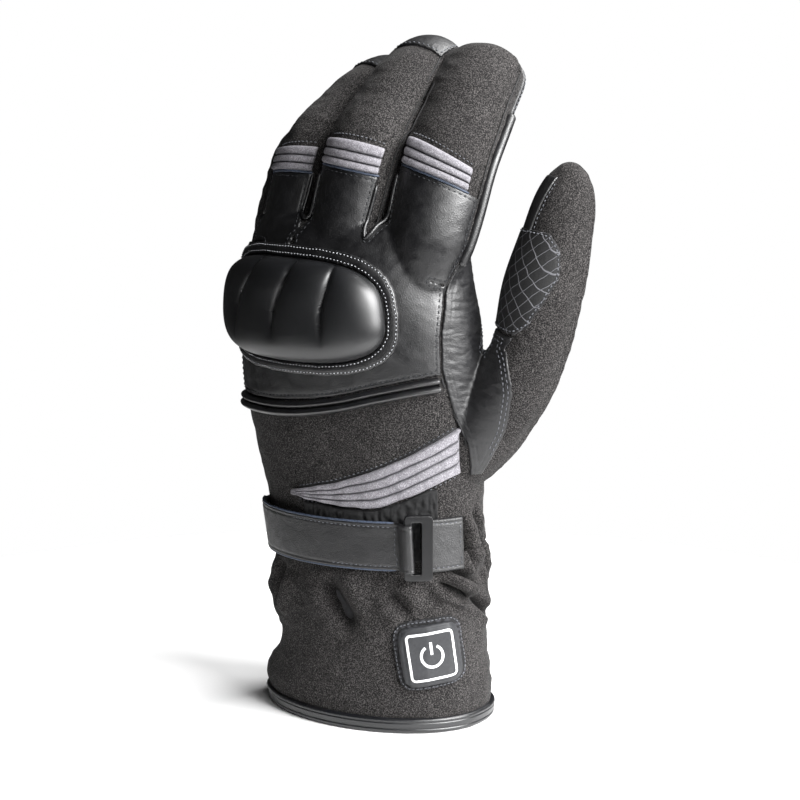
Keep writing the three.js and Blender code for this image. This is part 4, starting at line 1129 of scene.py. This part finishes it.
def gathered_relief(places, away):
    """Small gathers that run along the fingertips."""
    return 0.3 * wrinkles(places * [1.6, 1.6, 0.35], 3.2, 35) * np.exp(-away / 5) - 0.1


# Down the side of the back of the hand, where the knuckle leather meets the side panel
BACK_SEAM = [
    (44.5, 0.7, 192.5), (43.1, -10.8, 180.7), (37.6, -12.3, 162), (38.5, -14.8, 137), (41.2, -10.9, 122),
    (45.3, -8.3, 110.7), (45.4, -3.6, 96.8),
]


def run_length(points):
    return np.linalg.norm(np.diff(points, axis=0), axis=1).sum()


def runs_away_from(marks, lines, gap):
    """The stretches of lines that stay clear of a line of marks."""
    seam = smooth_line(marks, 1.0)
    runs = []
    for points, normals in lines:
        clear = distance_to(seam, points) > gap
        change = np.flatnonzero(np.diff(clear.astype(int))) + 1
        for part in np.split(np.arange(len(points)), change):
            if len(part) > 8 and clear[part[0]]:
                runs.append((points[part], normals[part]))
    return runs


PANELS = {
    "knuckle_panel": ("leather", leather_relief, (1.7,)),
    "side_panel": ("side leather", side_relief, (1.5, 3.0)),
    "palm_panel": ("palm leather", leather_relief, (1.7,)),
    "index_tip": ("tip leather", gathered_relief, (1.3,)),
    "middle_tip": ("tip leather", gathered_relief, (1.3,)),
    "ring_tip": ("tip leather", gathered_relief, (1.3,)),
    "little_tip": ("tip leather", gathered_relief, (1.3,)),
}
panels = {}
for node, (finish, relief, rows) in PANELS.items():
    panel, away = laid(
        node, 0.6 if node == "palm_panel" else 0.5, channels=[(at, 0.14) for at in rows], relief=relief
    )
    panels[node] = finished(panel, finish, "leather", node)
    lines = [line for at in rows for line in level_lines(panel, away, at)]
    lines = [line for line in lines if run_length(line[0]) > 24]
    if node == "side_panel":
        lines = runs_away_from(BACK_SEAM, lines, 7)
    stitched(
        node + "_stitches", lines, "dark thread" if node == "knuckle_panel" else "thread", pitch=2.1,
        length=1.3, radius=0.19
    )
panel_tree = tree_of([*SKINS.values(), *panels.values()])

border, away = laid(
    "guard_border", 0.45, top=3.0, edge=0.9, base=1.7, thickness=1.4, sink=-0.8,
    channels=[(1.2, 0.2), (3.3, 0.2)]
)
finished(border, "leather", "leather", "guard_border")
rows = [line for at in (1.2, 3.3) for line in level_lines(border, away, at)]
# The border's stitches take pale colour as their painted glints.
stitched("guard_border_stitches", rows, "painted glint thread", pitch=1.5, length=0.65, radius=0.17)
patch, away = laid("thumb_patch", 0.5, top=1.5, thickness=1.3, channels=[(1.2, 0.3)])
finished(patch, "net", "grip_net", "thumb_patch")
stitched(
    "thumb_patch_stitches", level_lines(patch, away, 1.2), slot="grip_net", pitch=1.7, length=1.0,
    radius=0.24
)
surround, away = laid("switch_surround", 0.4, top=1.3, thickness=1.1)
finished(surround, "webbing", "webbing", "switch_surround")
stitched(
    "switch_surround_stitches", level_lines(surround, away, 0.9), slot="webbing", pitch=1.5, length=1.0,
    radius=0.2
)


# The moulded guard

def guard_point(angle, reach, out, margin=0.0):
    power = 2 / GUARD_SQUARENESS
    cosine, sine = np.cos(angle), np.sin(angle)
    half = GUARD_SPAN / 2 + math.degrees(margin / ((PALM_WIDTH + PALM_DEPTH) / 4))
    turn = GUARD_TURN + reach * half * np.sign(cosine) * np.abs(cosine) ** power
    middle = CUFF_LENGTH + GUARD_AT * HAND_LENGTH
    z = middle + reach * (GUARD_HEIGHT / 2 + margin) * np.sign(sine) * np.abs(sine) ** power
    return turn, z, hand_point(turn, z, out)


def swell_lift(turn, z):
    """The guard's four swells meet in grooves that lean in towards its top and fade below its middle."""
    up = (z - CUFF_LENGTH - GUARD_AT * HAND_LENGTH) / GUARD_HEIGHT
    lean = 9 * smooth_step(up, -0.05, 0.5)
    lift = np.ones(np.broadcast(turn, z).shape)
    fade = smooth_step(up, -0.38, 0.16)
    edges = [edge + lean * factor for edge, factor in zip(SWELL_EDGES, (0, 1, 0.8, 0.5, 0))]
    for low, high in zip(edges[:-1], edges[1:]):
        inside = (turn >= low) & (turn < high)
        share = np.clip((turn - low) / (high - low), 0, 1)
        swell = np.sin(np.pi * share ** 0.8) ** 0.45
        lift = np.where(inside, 1 - SWELL_DEPTH * fade * (1 - swell), lift)
    for edge, share in zip(edges[1:-1], (1, 1, 0.6)):
        lift = lift - 0.08 * share * fade * bump(turn - edge, 0.9)
    return lift


def guard_skin():
    angle = np.linspace(0, 2 * np.pi, 361)[:-1][None, :]
    at = np.concatenate([np.linspace(0, 0.6, 44), np.linspace(0.6, 1, 40)[1:]])[:, None]
    reach = np.clip(column(GUARD_SIDE, "reach", at), 0.004, 1)
    rise = np.clip(column(GUARD_SIDE, "rise", at), 0, 1)
    turn, z, _ = guard_point(angle, reach, 0.0)
    lift = np.where(rise > 0.3, swell_lift(turn, z), 1)
    lift = 1 + (lift - 1) * smooth_step(rise, 0.0, 0.16)
    height = rise * lift * (GUARD_RISE + 1.7)
    height = height + 0.35 * bump(rise - 0.28, 0.06)
    rings = guard_point(angle, reach, np.maximum(height, 0.4))[2]
    return tube_piece("guard_shell", rings[::-1], (True, False))


guard = guard_skin()
turned_outwards(guard)
apply_modifier(guard, "SMOOTH", factor=0.5, iterations=2)
finished(guard, "guard", "guard_shell", "knuckle_guard")


# Ribs

def rib_profile(across, count, depth):
    """Height down from the crowns of a row of ribs, and how deep in a groove it is, 0 to 1, for the painted
    shade in the grooves.
    """
    share = across * count
    near = np.abs(share - np.round(share))
    inner = (np.round(share) > 0) & (np.round(share) < count)
    round_ = 1 - np.sqrt(np.clip(1 - (1 - 2 * near) ** 2.6, 0, 1))
    # The second value sets the painted shade between the ribs.
    return depth * round_, np.where(inner, bump(near, 0.1), 0)


def finger_ribs(name):
    band = BANDS[name]
    start = band["end"] * FINGER_LENGTH
    length = FINGER_RIBS * RIB_PITCH
    v, u = np.meshgrid(np.linspace(0, 1, 46), np.linspace(0, 1, 100), indexing="ij")
    turn = band["from"] + (band["to"] - band["from"]) * u
    slant = band["slant"] * FINGER_LENGTH * (turn + 50) / 100
    distance = start + v * length + slant
    down, groove = rib_profile(v, FINGER_RIBS, 1.5)
    edge = np.minimum(u, 1 - u) * 24
    out = (
        0.3 + (2.5 - down) * rounded((np.minimum(v, 1 - v) * length + 0.25) / 0.8)
    ) * (0.3 + 0.7 * rounded(edge / 1.4))
    out = (
        out
        + 0.12 * swells(stall_point(name, distance, turn, 0.0).reshape(-1, 3), 2.2, 41).reshape(out.shape)
    )
    top = stall_point(name, distance, turn, out)
    piece = slab_piece(name + "_rib_band", top, stall_point(name, distance, turn, -0.5))
    # Painted shade between the ribs, on the top sheet only.
    painted_groove_shade(piece, np.concatenate([groove.ravel(), groove.ravel() * 0]))
    finished(piece, "ribs", "reflective_ribs", name + "_ribs")

    def across_finger(at, out, trim=0.0):
        turns = np.linspace(band["from"] - trim, band["to"] + trim, 60)
        slants = band["slant"] * FINGER_LENGTH * (turns + 50) / 100
        line = stall_point(name, start + at + slants, turns, out)
        return line, nearest(skin_tree, line)[1]

    seams = [across_finger(RIB_PITCH * k, 1.25) for k in range(1, FINGER_RIBS)]
    stitched(name + "_rib_seams", seams, "dark thread", "reflective_ribs", 1.6, 1.2, 0.2)
    stitched(
        name + "_upper_stitches", [across_finger(length + 1.1, 0.55)], "thread", "reflective_ribs", 1.7, 0.9,
        0.2
    )
    cord_piece(name + "_cut_edge", *across_finger(-0.35, 1.25, 3), 0.5, "cut edge", "leather")


for name in BANDS:
    finger_ribs(name)


def seen_from(facing, across, height):
    """Places and normals met on the skins from outside, facing the glove at a turn."""
    turn = math.radians(facing)
    right = np.array([math.cos(turn), math.sin(turn), 0])
    back = np.array([math.sin(turn), -math.cos(turn), 0])
    starts = across[..., None] * right + height[..., None] * np.array([0, 0, 1]) + back * 120
    places, normals = np.empty_like(starts), np.empty_like(starts)
    for index in np.ndindex(across.shape):
        hit, normal, _, _ = skin_tree.ray_cast(Vector(starts[index]), Vector(-back))
        if hit is None:
            hit, normal, _, _ = skin_tree.find_nearest(Vector(starts[index] - back * 100))
        places[index], normals[index] = hit, normal
    return places, normals


def evened(grid, rounds):
    """Softens a grid of points, keeping its rim."""
    for _ in range(rounds):
        inner = grid[:-2, 1:-1] + grid[2:, 1:-1] + grid[1:-1, :-2] + grid[1:-1, 2:]
        grid = grid.copy()
        grid[1:-1, 1:-1] = 0.5 * grid[1:-1, 1:-1] + 0.125 * inner
    return grid


def fan_place(u, v):
    rows = [dict(row, at=k) for k, row in enumerate(WRIST_FAN)]
    at = u * (len(rows) - 1)
    line = [dict(at=k, side=row["at"]) for k, row in enumerate(WRIST_FAN)]
    low, high = column(rows, "low", at), column(rows, "high", at)
    return column(line, "side", at) * PALM_WIDTH, CUFF_LENGTH + (low + (high - low) * v) * HAND_LENGTH


def wrist_fan():
    v, u = np.meshgrid(np.linspace(0, 1, 54), np.linspace(0, 1, 150), indexing="ij")
    across, height = fan_place(u, v)
    places, normals = seen_from(WRIST_FACING, across, height)
    places = evened(places, 6)
    normals = unit(evened(normals, 12))
    tall = (height[-1] - height[0])[None, :]
    down, groove = rib_profile(v, WRIST_RIBS, 1.5)
    edge = np.minimum(v, 1 - v) * tall
    ends = np.minimum(u, 1 - u) * 60
    out = 0.3 + (2.4 - down * np.minimum(tall / 8, 1)) * rounded((edge + 0.2) / 0.8)
    out = (
        out * (0.3 + 0.7 * rounded(ends / 2))
        + 0.1 * swells(places.reshape(-1, 3), 2.2, 42).reshape(out.shape)
    )
    top = places + normals * out[..., None]
    piece = slab_piece("wrist_rib_fan", top, places - normals * 0.5)
    # Painted shade between the ribs, on the top sheet only.
    painted_groove_shade(piece, np.concatenate([groove.ravel(), groove.ravel() * 0]))
    finished(piece, "ribs", "reflective_ribs", "wrist_ribs")

    def edge_line(v, drop, out):
        stops = np.linspace(0.04, 0.985, 120)
        across, height = fan_place(stops, v)
        places, normals = seen_from(WRIST_FACING, across, height + drop)
        return softened(places) + normals * out, normals

    seams = [edge_line(k / WRIST_RIBS, 0, 1.1) for k in range(1, WRIST_RIBS)]
    stitched("wrist_rib_seams", seams, "dark thread", "reflective_ribs", 1.7, 1.2, 0.2)
    dots = [edge_line(1, 1.1, 0.15), edge_line(0, -1.2, 0.15)]
    stitched("wrist_fan_stitches", dots, "thread", "reflective_ribs", 2.0, 0.9, 0.22)
    cord_piece("wrist_fan_edging", *edge_line(1, 0.45, 0.3), 0.55, "seam", "reflective_ribs")


wrist_fan()


# Piping, strap, loop and hem

PIPING_LINE = [
    {"at": -92, "rise": 0.422},
    {"at": -32, "rise": 0.431},
    {"at": -10, "rise": 0.443},
    {"at": 11, "rise": 0.472},
    {"at": 30, "rise": 0.509},
    {"at": 50, "rise": 0.538},
    {"at": 72, "rise": 0.556},
]


def piping_height(turn):
    return CUFF_LENGTH + column(PIPING_LINE, "rise", turn) * HAND_LENGTH


def piping():
    """Two rolls of folded leather, the lower one fuller."""
    angle = np.linspace(0, 180, 19)
    upper = [(0.76 + 0.24 * math.cos(math.radians(a)), 0.4 + 2.5 * math.sin(math.radians(a))) for a in angle]
    lower = [(0.25 + 0.27 * math.cos(math.radians(a)), 0.4 + 3.1 * math.sin(math.radians(a))) for a in angle]
    profile = [(1, -0.4)] + upper[:-1] + lower[1:] + [(0, -0.4)]
    half = 2.8
    turns = np.linspace(-92, 61, 170)
    rings = []
    for turn in turns:
        middle = piping_height(turn)
        wave = 0.18 * noise.noise(Vector((turn / 9, 0, 7)))
        rings.append([
            wall_point(turn, middle - half + 2 * half * share, out + wave * (out > 0))
            for share, out in profile
        ])
    piece = tube_piece("piping_rolls", np.array(rings))
    turned_outwards(piece)
    finished(piece, "leather", "leather", "panel_piping")


piping()


def strap_height(turn):
    return CUFF_LENGTH + STRAP_RISE + STRAP_SLANT * (turn - STRAP_START) / (LOOP_TURN - STRAP_START)


def strap_band(name, turns, width, low, high, finish, slot, node, roll=None, relief=0.1):
    share = np.linspace(0, 1, 48)
    turn, across = np.meshgrid(turns, share, indexing="ij")
    z = strap_height(turn) + (across - 0.5) * width
    edge = np.minimum(across, 1 - across) * width
    ends = np.minimum(turn - turns[0], turns[-1] - turn) * 0.7
    lift = roll(turn) if roll else 0
    base = wall_point(turn, z, 0.0).reshape(-1, 3)

    def over_wrist(out):
        low_edge = wall_point(turn, strap_height(turn) - 0.5 * width, out)
        high_edge = wall_point(turn, strap_height(turn) + 0.5 * width, out)
        return low_edge + (high_edge - low_edge) * across[..., None]

    wave = relief * swells(base, 7, 51).reshape(z.shape) + 0.05 * wrinkles(base, 2.5, 52).reshape(z.shape)
    wave = wave - 0.22 * bump(edge - 1.5, 0.35)
    soft = rounded((edge + 0.1) / 0.9) * rounded((ends + 0.1) / 0.8)
    top = over_wrist(low + (high - low) * (0.45 + 0.55 * soft) + wave + lift)
    bottom = over_wrist(low + (high - low) * 0.45 * (1 - soft) + 0.6 * lift)
    piece = slab_piece(name, top, bottom)
    return finished(piece, finish, slot, node)


def strap_roll(turn):
    """The strap's end folds over the loop's inner bar."""
    return 5.6 * np.exp(-(((turn - 41.6) / 3.6) ** 4))


strap = strap_band(
    "wrist_strap", np.linspace(STRAP_START, LOOP_TURN - 3.6, 220),
    STRAP_WIDTH, STRAP_LIFT, STRAP_TOP, "strap leather",
    "leather", "strap", strap_roll,
)
tab = strap_band(
    "woven_tab", np.linspace(TAB_START, STRAP_START - 0.6, 50),
    STRAP_WIDTH - 1, STRAP_LIFT, STRAP_TOP + 0.6, "webbing",
    "webbing", "strap_tab",
)
anchor = strap_band(
    "anchor_tab", np.linspace(LOOP_TURN + 2, ANCHOR_END, 60),
    STRAP_WIDTH + 2, STRAP_LIFT, STRAP_TOP, "strap leather",
    "leather", "strap_anchor",
)
band_tree = tree_of([strap, tab, anchor])


def strap_line(share, from_turn, to_turn, width=STRAP_WIDTH, out=3.7):
    turns = np.linspace(from_turn, to_turn, 200)
    line = wall_point(turns, strap_height(turns) + (share - 0.5) * width, out)
    return laid_line(band_tree, line)


rows = [
    strap_line(0.91, -20, LOOP_TURN - 12), strap_line(0.09, 2, LOOP_TURN - 12), strap_line(0.09, -73, -66)
]
turns = np.full(60, LOOP_TURN - 11.5)
down = wall_point(turns, strap_height(turns) + np.linspace(-0.41, 0.41, 60) * STRAP_WIDTH, 3.8)
rows.append(laid_line(band_tree, down))
stitched("strap_stitches", rows, "thread", "leather", 1.9, 1.1, 0.17)
rows = [
    strap_line(0.91, LOOP_TURN + 6, ANCHOR_END - 2, STRAP_WIDTH + 2),
    strap_line(0.09, LOOP_TURN + 6, ANCHOR_END - 2, STRAP_WIDTH + 2)
]
turns = np.full(60, ANCHOR_END - 2.6)
down = wall_point(turns, strap_height(turns) + np.linspace(-0.41, 0.41, 60) * (STRAP_WIDTH + 2), 3.7)
rows.append(laid_line(band_tree, down))
stitched("anchor_stitches", rows, "thread", "leather", 1.9, 1.1, 0.17)
for name, share in (("upper", 1.0), ("lower", 0.0)):
    line, facing = strap_line(share, STRAP_START, LOOP_TURN - 12, out=3.2)
    cord_piece("strap_" + name + "_edge", line, facing, 0.42, "cut edge", "leather")

# Cross stitches on the woven tab
rows = []
for k in range(5):
    for lean in (-1, 1):
        at = np.linspace(-1, 1, 8)
        turns = -85 + at * 4.2 * lean
        z = strap_height(turns) + (k - 2) * 3.4 + at * 1.5
        rows.append(laid_line(band_tree, wall_point(turns, z, 6.0)))
stitched("tab_cross_stitches", rows, "thread", "webbing", 1.5, 1.3, 0.22)

loop = copy_of("strap_loop")
apply_modifier(loop, "REMESH", mode="VOXEL", voxel_size=0.28 * MM)
apply_modifier(loop, "SMOOTH", factor=0.5, iterations=5)
finished(loop, "loop", "moulded_loop", "strap_loop")


def hem():
    """The folded binding: a rounded ring over the cuff's edge, with two fine grooves outside."""
    heights = np.linspace(0.3, HEM_HEIGHT - 0.2, 34)
    edge = np.minimum(heights, HEM_HEIGHT - heights)
    outs = (
        0.35 + 1.45 * rounded(edge / 1.2) - 0.3 * bump(heights - 1.9, 0.25) - 0.3 * bump(heights - 4.3, 0.25)
    )
    inner = np.full(12, -3.2 - 1.6)
    low = np.linspace(HEM_HEIGHT - 0.4, 0.5, 12)
    z = np.concatenate([heights, low])
    out = np.concatenate([outs, inner])
    turns = np.linspace(-180, 180, 321)[:-1]
    turn, height = np.meshgrid(turns, z, indexing="ij")
    grid = cuff_point(turn, height, out[None, :] + 0 * turn)
    finished(ring_piece("hem_ring", grid), "binding", "hem_binding", "hem_binding")
    line = cuff_point(turns[90:230], np.full(140, 5.0), np.full(140, 1.5))
    stitched(
        "hem_stitches", [(line, nearest(skin_tree, line)[1])], "dark thread", "hem_binding", 2.2, 1.5, 0.2
    )


hem()


# Gathered elastic between the ribs and the strap

elastic, away = laid("wrist_elastic", 0.5, top=1.2, thickness=0.9, relief=lambda places, away: (
    0.7 * wrinkles(places * [1.0, 1.0, 0.3], 1.9, 61) + 0.4 * swells(places, 1.4, 62) - 0.3
))
finished(elastic, "elastic", "gathered_elastic", "wrist_elastic")


# The switch and its print

pad = copy_of("switch_pad")
apply_modifier(pad, "REMESH", mode="VOXEL", voxel_size=0.4 * MM)
apply_modifier(pad, "SMOOTH", factor=0.5, iterations=14)
points = coordinates(pad)
facing = math.radians(SWITCH_FACING)
across = points @ np.array([math.cos(facing), math.sin(facing), 0]) - SWITCH_ACROSS
height = points[:, 2] - SWITCH_AT * CUFF_LENGTH
tilt = math.radians(SWITCH_TILT)
flat = np.stack(
    [across * math.cos(tilt) + height * math.sin(tilt), height * math.cos(tilt) - across * math.sin(tilt)],
    -1
)
outer = np.maximum(np.abs(flat[:, 0]), np.abs(flat[:, 1]))
back = np.array([math.sin(facing), -math.cos(facing), 0])
upper = (vertex_normals(pad) @ back) > 0.3
dent = -0.35 * bump(outer - 10.1, 0.5) * upper
set_coordinates(pad, points + back * dent[:, None])
finished(pad, "rubber", "switch_rubber", "switch_pad")
pad_tree = tree_of([pad])


def printed(name, path, half, closed):
    """A printed line on the pad, thin, from a flat path that is centred on it."""
    path = np.asarray(path, float)
    if closed:
        along = np.roll(path, -1, 0) - np.roll(path, 1, 0)
    else:
        along = np.gradient(path, axis=0)
    side = unit(np.stack([-along[:, 1], along[:, 0]], -1))
    strip = path[:, None] + side[:, None] * np.array([-half, 0, half])[None, :, None]
    if closed:
        strip = np.concatenate([strip, strip[:1]])
    turned = np.stack([
        strip[..., 0] * math.cos(tilt) - strip[..., 1] * math.sin(tilt) + SWITCH_ACROSS,
        strip[..., 0] * math.sin(tilt) + strip[..., 1] * math.cos(tilt) + SWITCH_AT * CUFF_LENGTH,
    ], -1)
    right = np.array([math.cos(facing), math.sin(facing), 0])
    places = np.empty(strip.shape[:2] + (3,))
    for index in np.ndindex(strip.shape[:2]):
        start = turned[index][0] * right + np.array([0, 0, turned[index][1]]) + back * 90
        hit = pad_tree.ray_cast(Vector(start), Vector(-back))[0]
        places[index] = hit if hit is not None else pad_tree.find_nearest(Vector(start))[0]
    piece = slab_piece(name, places + back * 0.12, places - back * 0.12)
    finished(piece, "print", "switch_rubber", smooth=False)


corner = np.radians(np.linspace(0, 90, 7))
frame_path = []
for quarter in range(4):
    turn = quarter * math.pi / 2
    middle = 8.6 - 1.5
    cx, cy = (
        middle * math.sqrt(2) * math.cos(turn + math.pi / 4),
        middle * math.sqrt(2) * math.sin(turn + math.pi / 4),
    )
    frame_path += [(cx + 1.5 * math.cos(turn + a), cy + 1.5 * math.sin(turn + a)) for a in corner]
frame_path = np.array(frame_path)
frame_path = np.concatenate([
    np.linspace(frame_path[k], frame_path[(k + 1) % len(frame_path)], 12 if k % 7 == 6 else 2)[:-1]
    for k in range(len(frame_path))
])
printed("printed_frame", frame_path, 0.42, True)
turns = np.radians(np.linspace(90 + 32, 90 + 328, 60))
printed("printed_ring", np.stack([4.1 * np.cos(turns), 4.1 * np.sin(turns)], -1), 0.48, False)
printed("printed_bar", np.stack([np.zeros(10), np.linspace(0.6, 5.3, 10)], -1), 0.5, False)


# Seams, welts and rolls that lie on top of the panels

def fork_welt(name, one, one_turn, other, other_turn, bottom):
    """A raised welt down one finger's leather, round the fork and up the next finger's."""
    down = [stall_point(one, stop, one_turn, 0.8) for stop in (21.0, 13.0, 6.0)]
    up = [stall_point(other, stop, other_turn, 0.8) for stop in (6.0, 13.0, 20.0)]
    line = smooth_line([*down, bottom, *up])
    line, facing = laid_line(body_tree, line, 1.15)
    cord_piece(name, line, facing, 0.75, "leather", "leather", 10)


fork_welt("index_fork_welt", "middle", 52.0, "index", -58.0, (11.7, -22, 183))
fork_welt("middle_fork_welt", "ring", 46.0, "middle", -50.0, (-16.2, -21.5, 187))
fork_welt("ring_fork_welt", "little", 40.0, "ring", -50.0, (-39.5, -11.5, 187))


def surface_cord(name, marks, radius, finish, slot="leather", out=0.0):
    line, facing = laid_line(panel_tree, smooth_line(marks), out)
    cord_piece(name, line, facing, radius, finish, slot)


# A near-black cord along the back seam: partly the seam's thread, partly painted shade of the seam's groove.
surface_cord("back_seam", BACK_SEAM, 0.45, "seam")
side_seam = smooth_line([(39.9, 4, 164), (42, 5.1, 149.5), (50.2, -1.4, 136), (52.1, -5.3, 114.7)])
stitched(
    "side_panel_centre_stitches", [laid_line(panel_tree, side_seam)], "thread", "leather", 2.0, 1.3, 0.2
)

# Near-black cords down the finger seams: partly the seams' thread, partly painted shade of their grooves.
for name in ("index", "middle", "ring", "little"):
    for side, turn in zip(("outer", "inner"), SEAM_TURNS[name]):
        stops = np.linspace(-2, STALLS[name]["length"] * 0.9, 160)
        line = stall_point(name, stops, np.full(160, float(turn)), 2.0)
        line, facing = laid_line(skin_tree, line)
        cord_piece(name + "_" + side + "_seam", line, facing, 0.3, "seam", "softshell", 6)

stops = np.linspace(-8, 0.66 * STALLS["index"]["length"], 140)
turns = 80 + 10 * smooth_step(stops, 20, 60)
roll_line = stall_point("index", stops, turns, 1.0)
cord_piece("index_side_roll", roll_line, nearest(skin_tree, roll_line)[1], 1.9, "leather", "leather", 20)

stops = np.linspace(0.78, 0.95, 60) * THUMB_LENGTH
turns = np.linspace(-60, -44, 60)
thumb_line = laid_line(skin_tree, stall_point("thumb", stops, turns, 1.0))
stitched("thumb_seam_stitches", [thumb_line], "thread", "softshell", 1.7, 1.0, 0.2)
v, u = np.meshgrid(np.linspace(0.79, 0.955, 60), np.linspace(0, 1, 60), indexing="ij")
turn = -150 + (86 + 16 * (v - 0.79) / 0.165) * u
soft = rounded(np.minimum(u, 1 - u) * 20) * rounded(np.minimum(v - 0.79, 0.955 - v) * THUMB_LENGTH)
strip = slab_piece(
    "thumb_inner_leather", stall_point("thumb", v * THUMB_LENGTH, turn, 0.3 + 0.6 * soft),
    stall_point("thumb", v * THUMB_LENGTH, turn, -0.5),
)
finished(strip, "leather", "leather")


# Studio

def studio():
    bpy.ops.object.select_all(action="DESELECT")
    bpy.ops.mesh.primitive_circle_add(vertices=128, radius=0.3, fill_type="NGON", location=(0, 0, 0))
    floor = bpy.context.object
    floor.name = "studio_floor"
    pale = Finish("pale floor", 0.9)
    pale.colour(pale.ramp(pale.noise(3), [(0.3, hexed((244, 244, 244))), (0.7, hexed((248, 248, 248)))]))
    floor.data.materials.append(pale.material)

    world = bpy.context.scene.world or bpy.data.worlds.new("studio")
    bpy.context.scene.world = world
    world.use_nodes = True
    nodes, links = world.node_tree.nodes, world.node_tree.links
    backdrop = nodes.new("ShaderNodeBackground")
    backdrop.inputs["Strength"].default_value = 1.0
    backdrop.inputs["Color"].default_value = (1, 1, 1, 1)
    nodes["Background"].inputs["Color"].default_value = (1, 1, 1, 1)
    nodes["Background"].inputs["Strength"].default_value = 0.03
    seen = nodes.new("ShaderNodeLightPath").outputs["Is Camera Ray"]
    both = nodes.new("ShaderNodeMixShader")
    links.new(seen, both.inputs[0])
    links.new(nodes["Background"].outputs[0], both.inputs[1])
    links.new(backdrop.outputs[0], both.inputs[2])
    links.new(both.outputs[0], nodes["World Output"].inputs["Surface"])
    bpy.context.scene.view_settings.view_transform = "Standard"

    def lamp(name, place, size, energy):
        light = bpy.data.lights.new(name, "AREA")
        light.size = size
        light.energy = energy
        obj = bpy.data.objects.new(name, light)
        obj.location = place
        obj.rotation_euler = (Vector((0.0, 0.0, 0.13)) - Vector(place)).to_track_quat("-Z", "Y").to_euler()
        bpy.context.scene.collection.objects.link(obj)

    lamp("key_light", (0.97, -0.07, 0.66), 0.8, 46)
    lamp("side_light", (0.65, -0.6, 0.42), 0.25, 1.9)
    lamp("top_light", (0.3, 0.5, 1.0), 0.5, 13)

    view = math.radians(35)
    tilt = math.radians(10)
    back = Vector((math.sin(view) * math.cos(tilt), -math.cos(view) * math.cos(tilt), math.sin(tilt)))
    target = Vector((7.7, 3.89, 120.01)) * MM
    camera = bpy.data.objects.new("camera", bpy.data.cameras.new("camera"))
    camera.data.lens = 106.92
    camera.data.sensor_width = 36
    camera.data.clip_start = 0.01
    camera.location = target + back * 0.9
    camera.rotation_euler = back.to_track_quat("Z", "Y").to_euler()
    bpy.context.scene.collection.objects.link(camera)
    bpy.context.scene.camera = camera


studio()
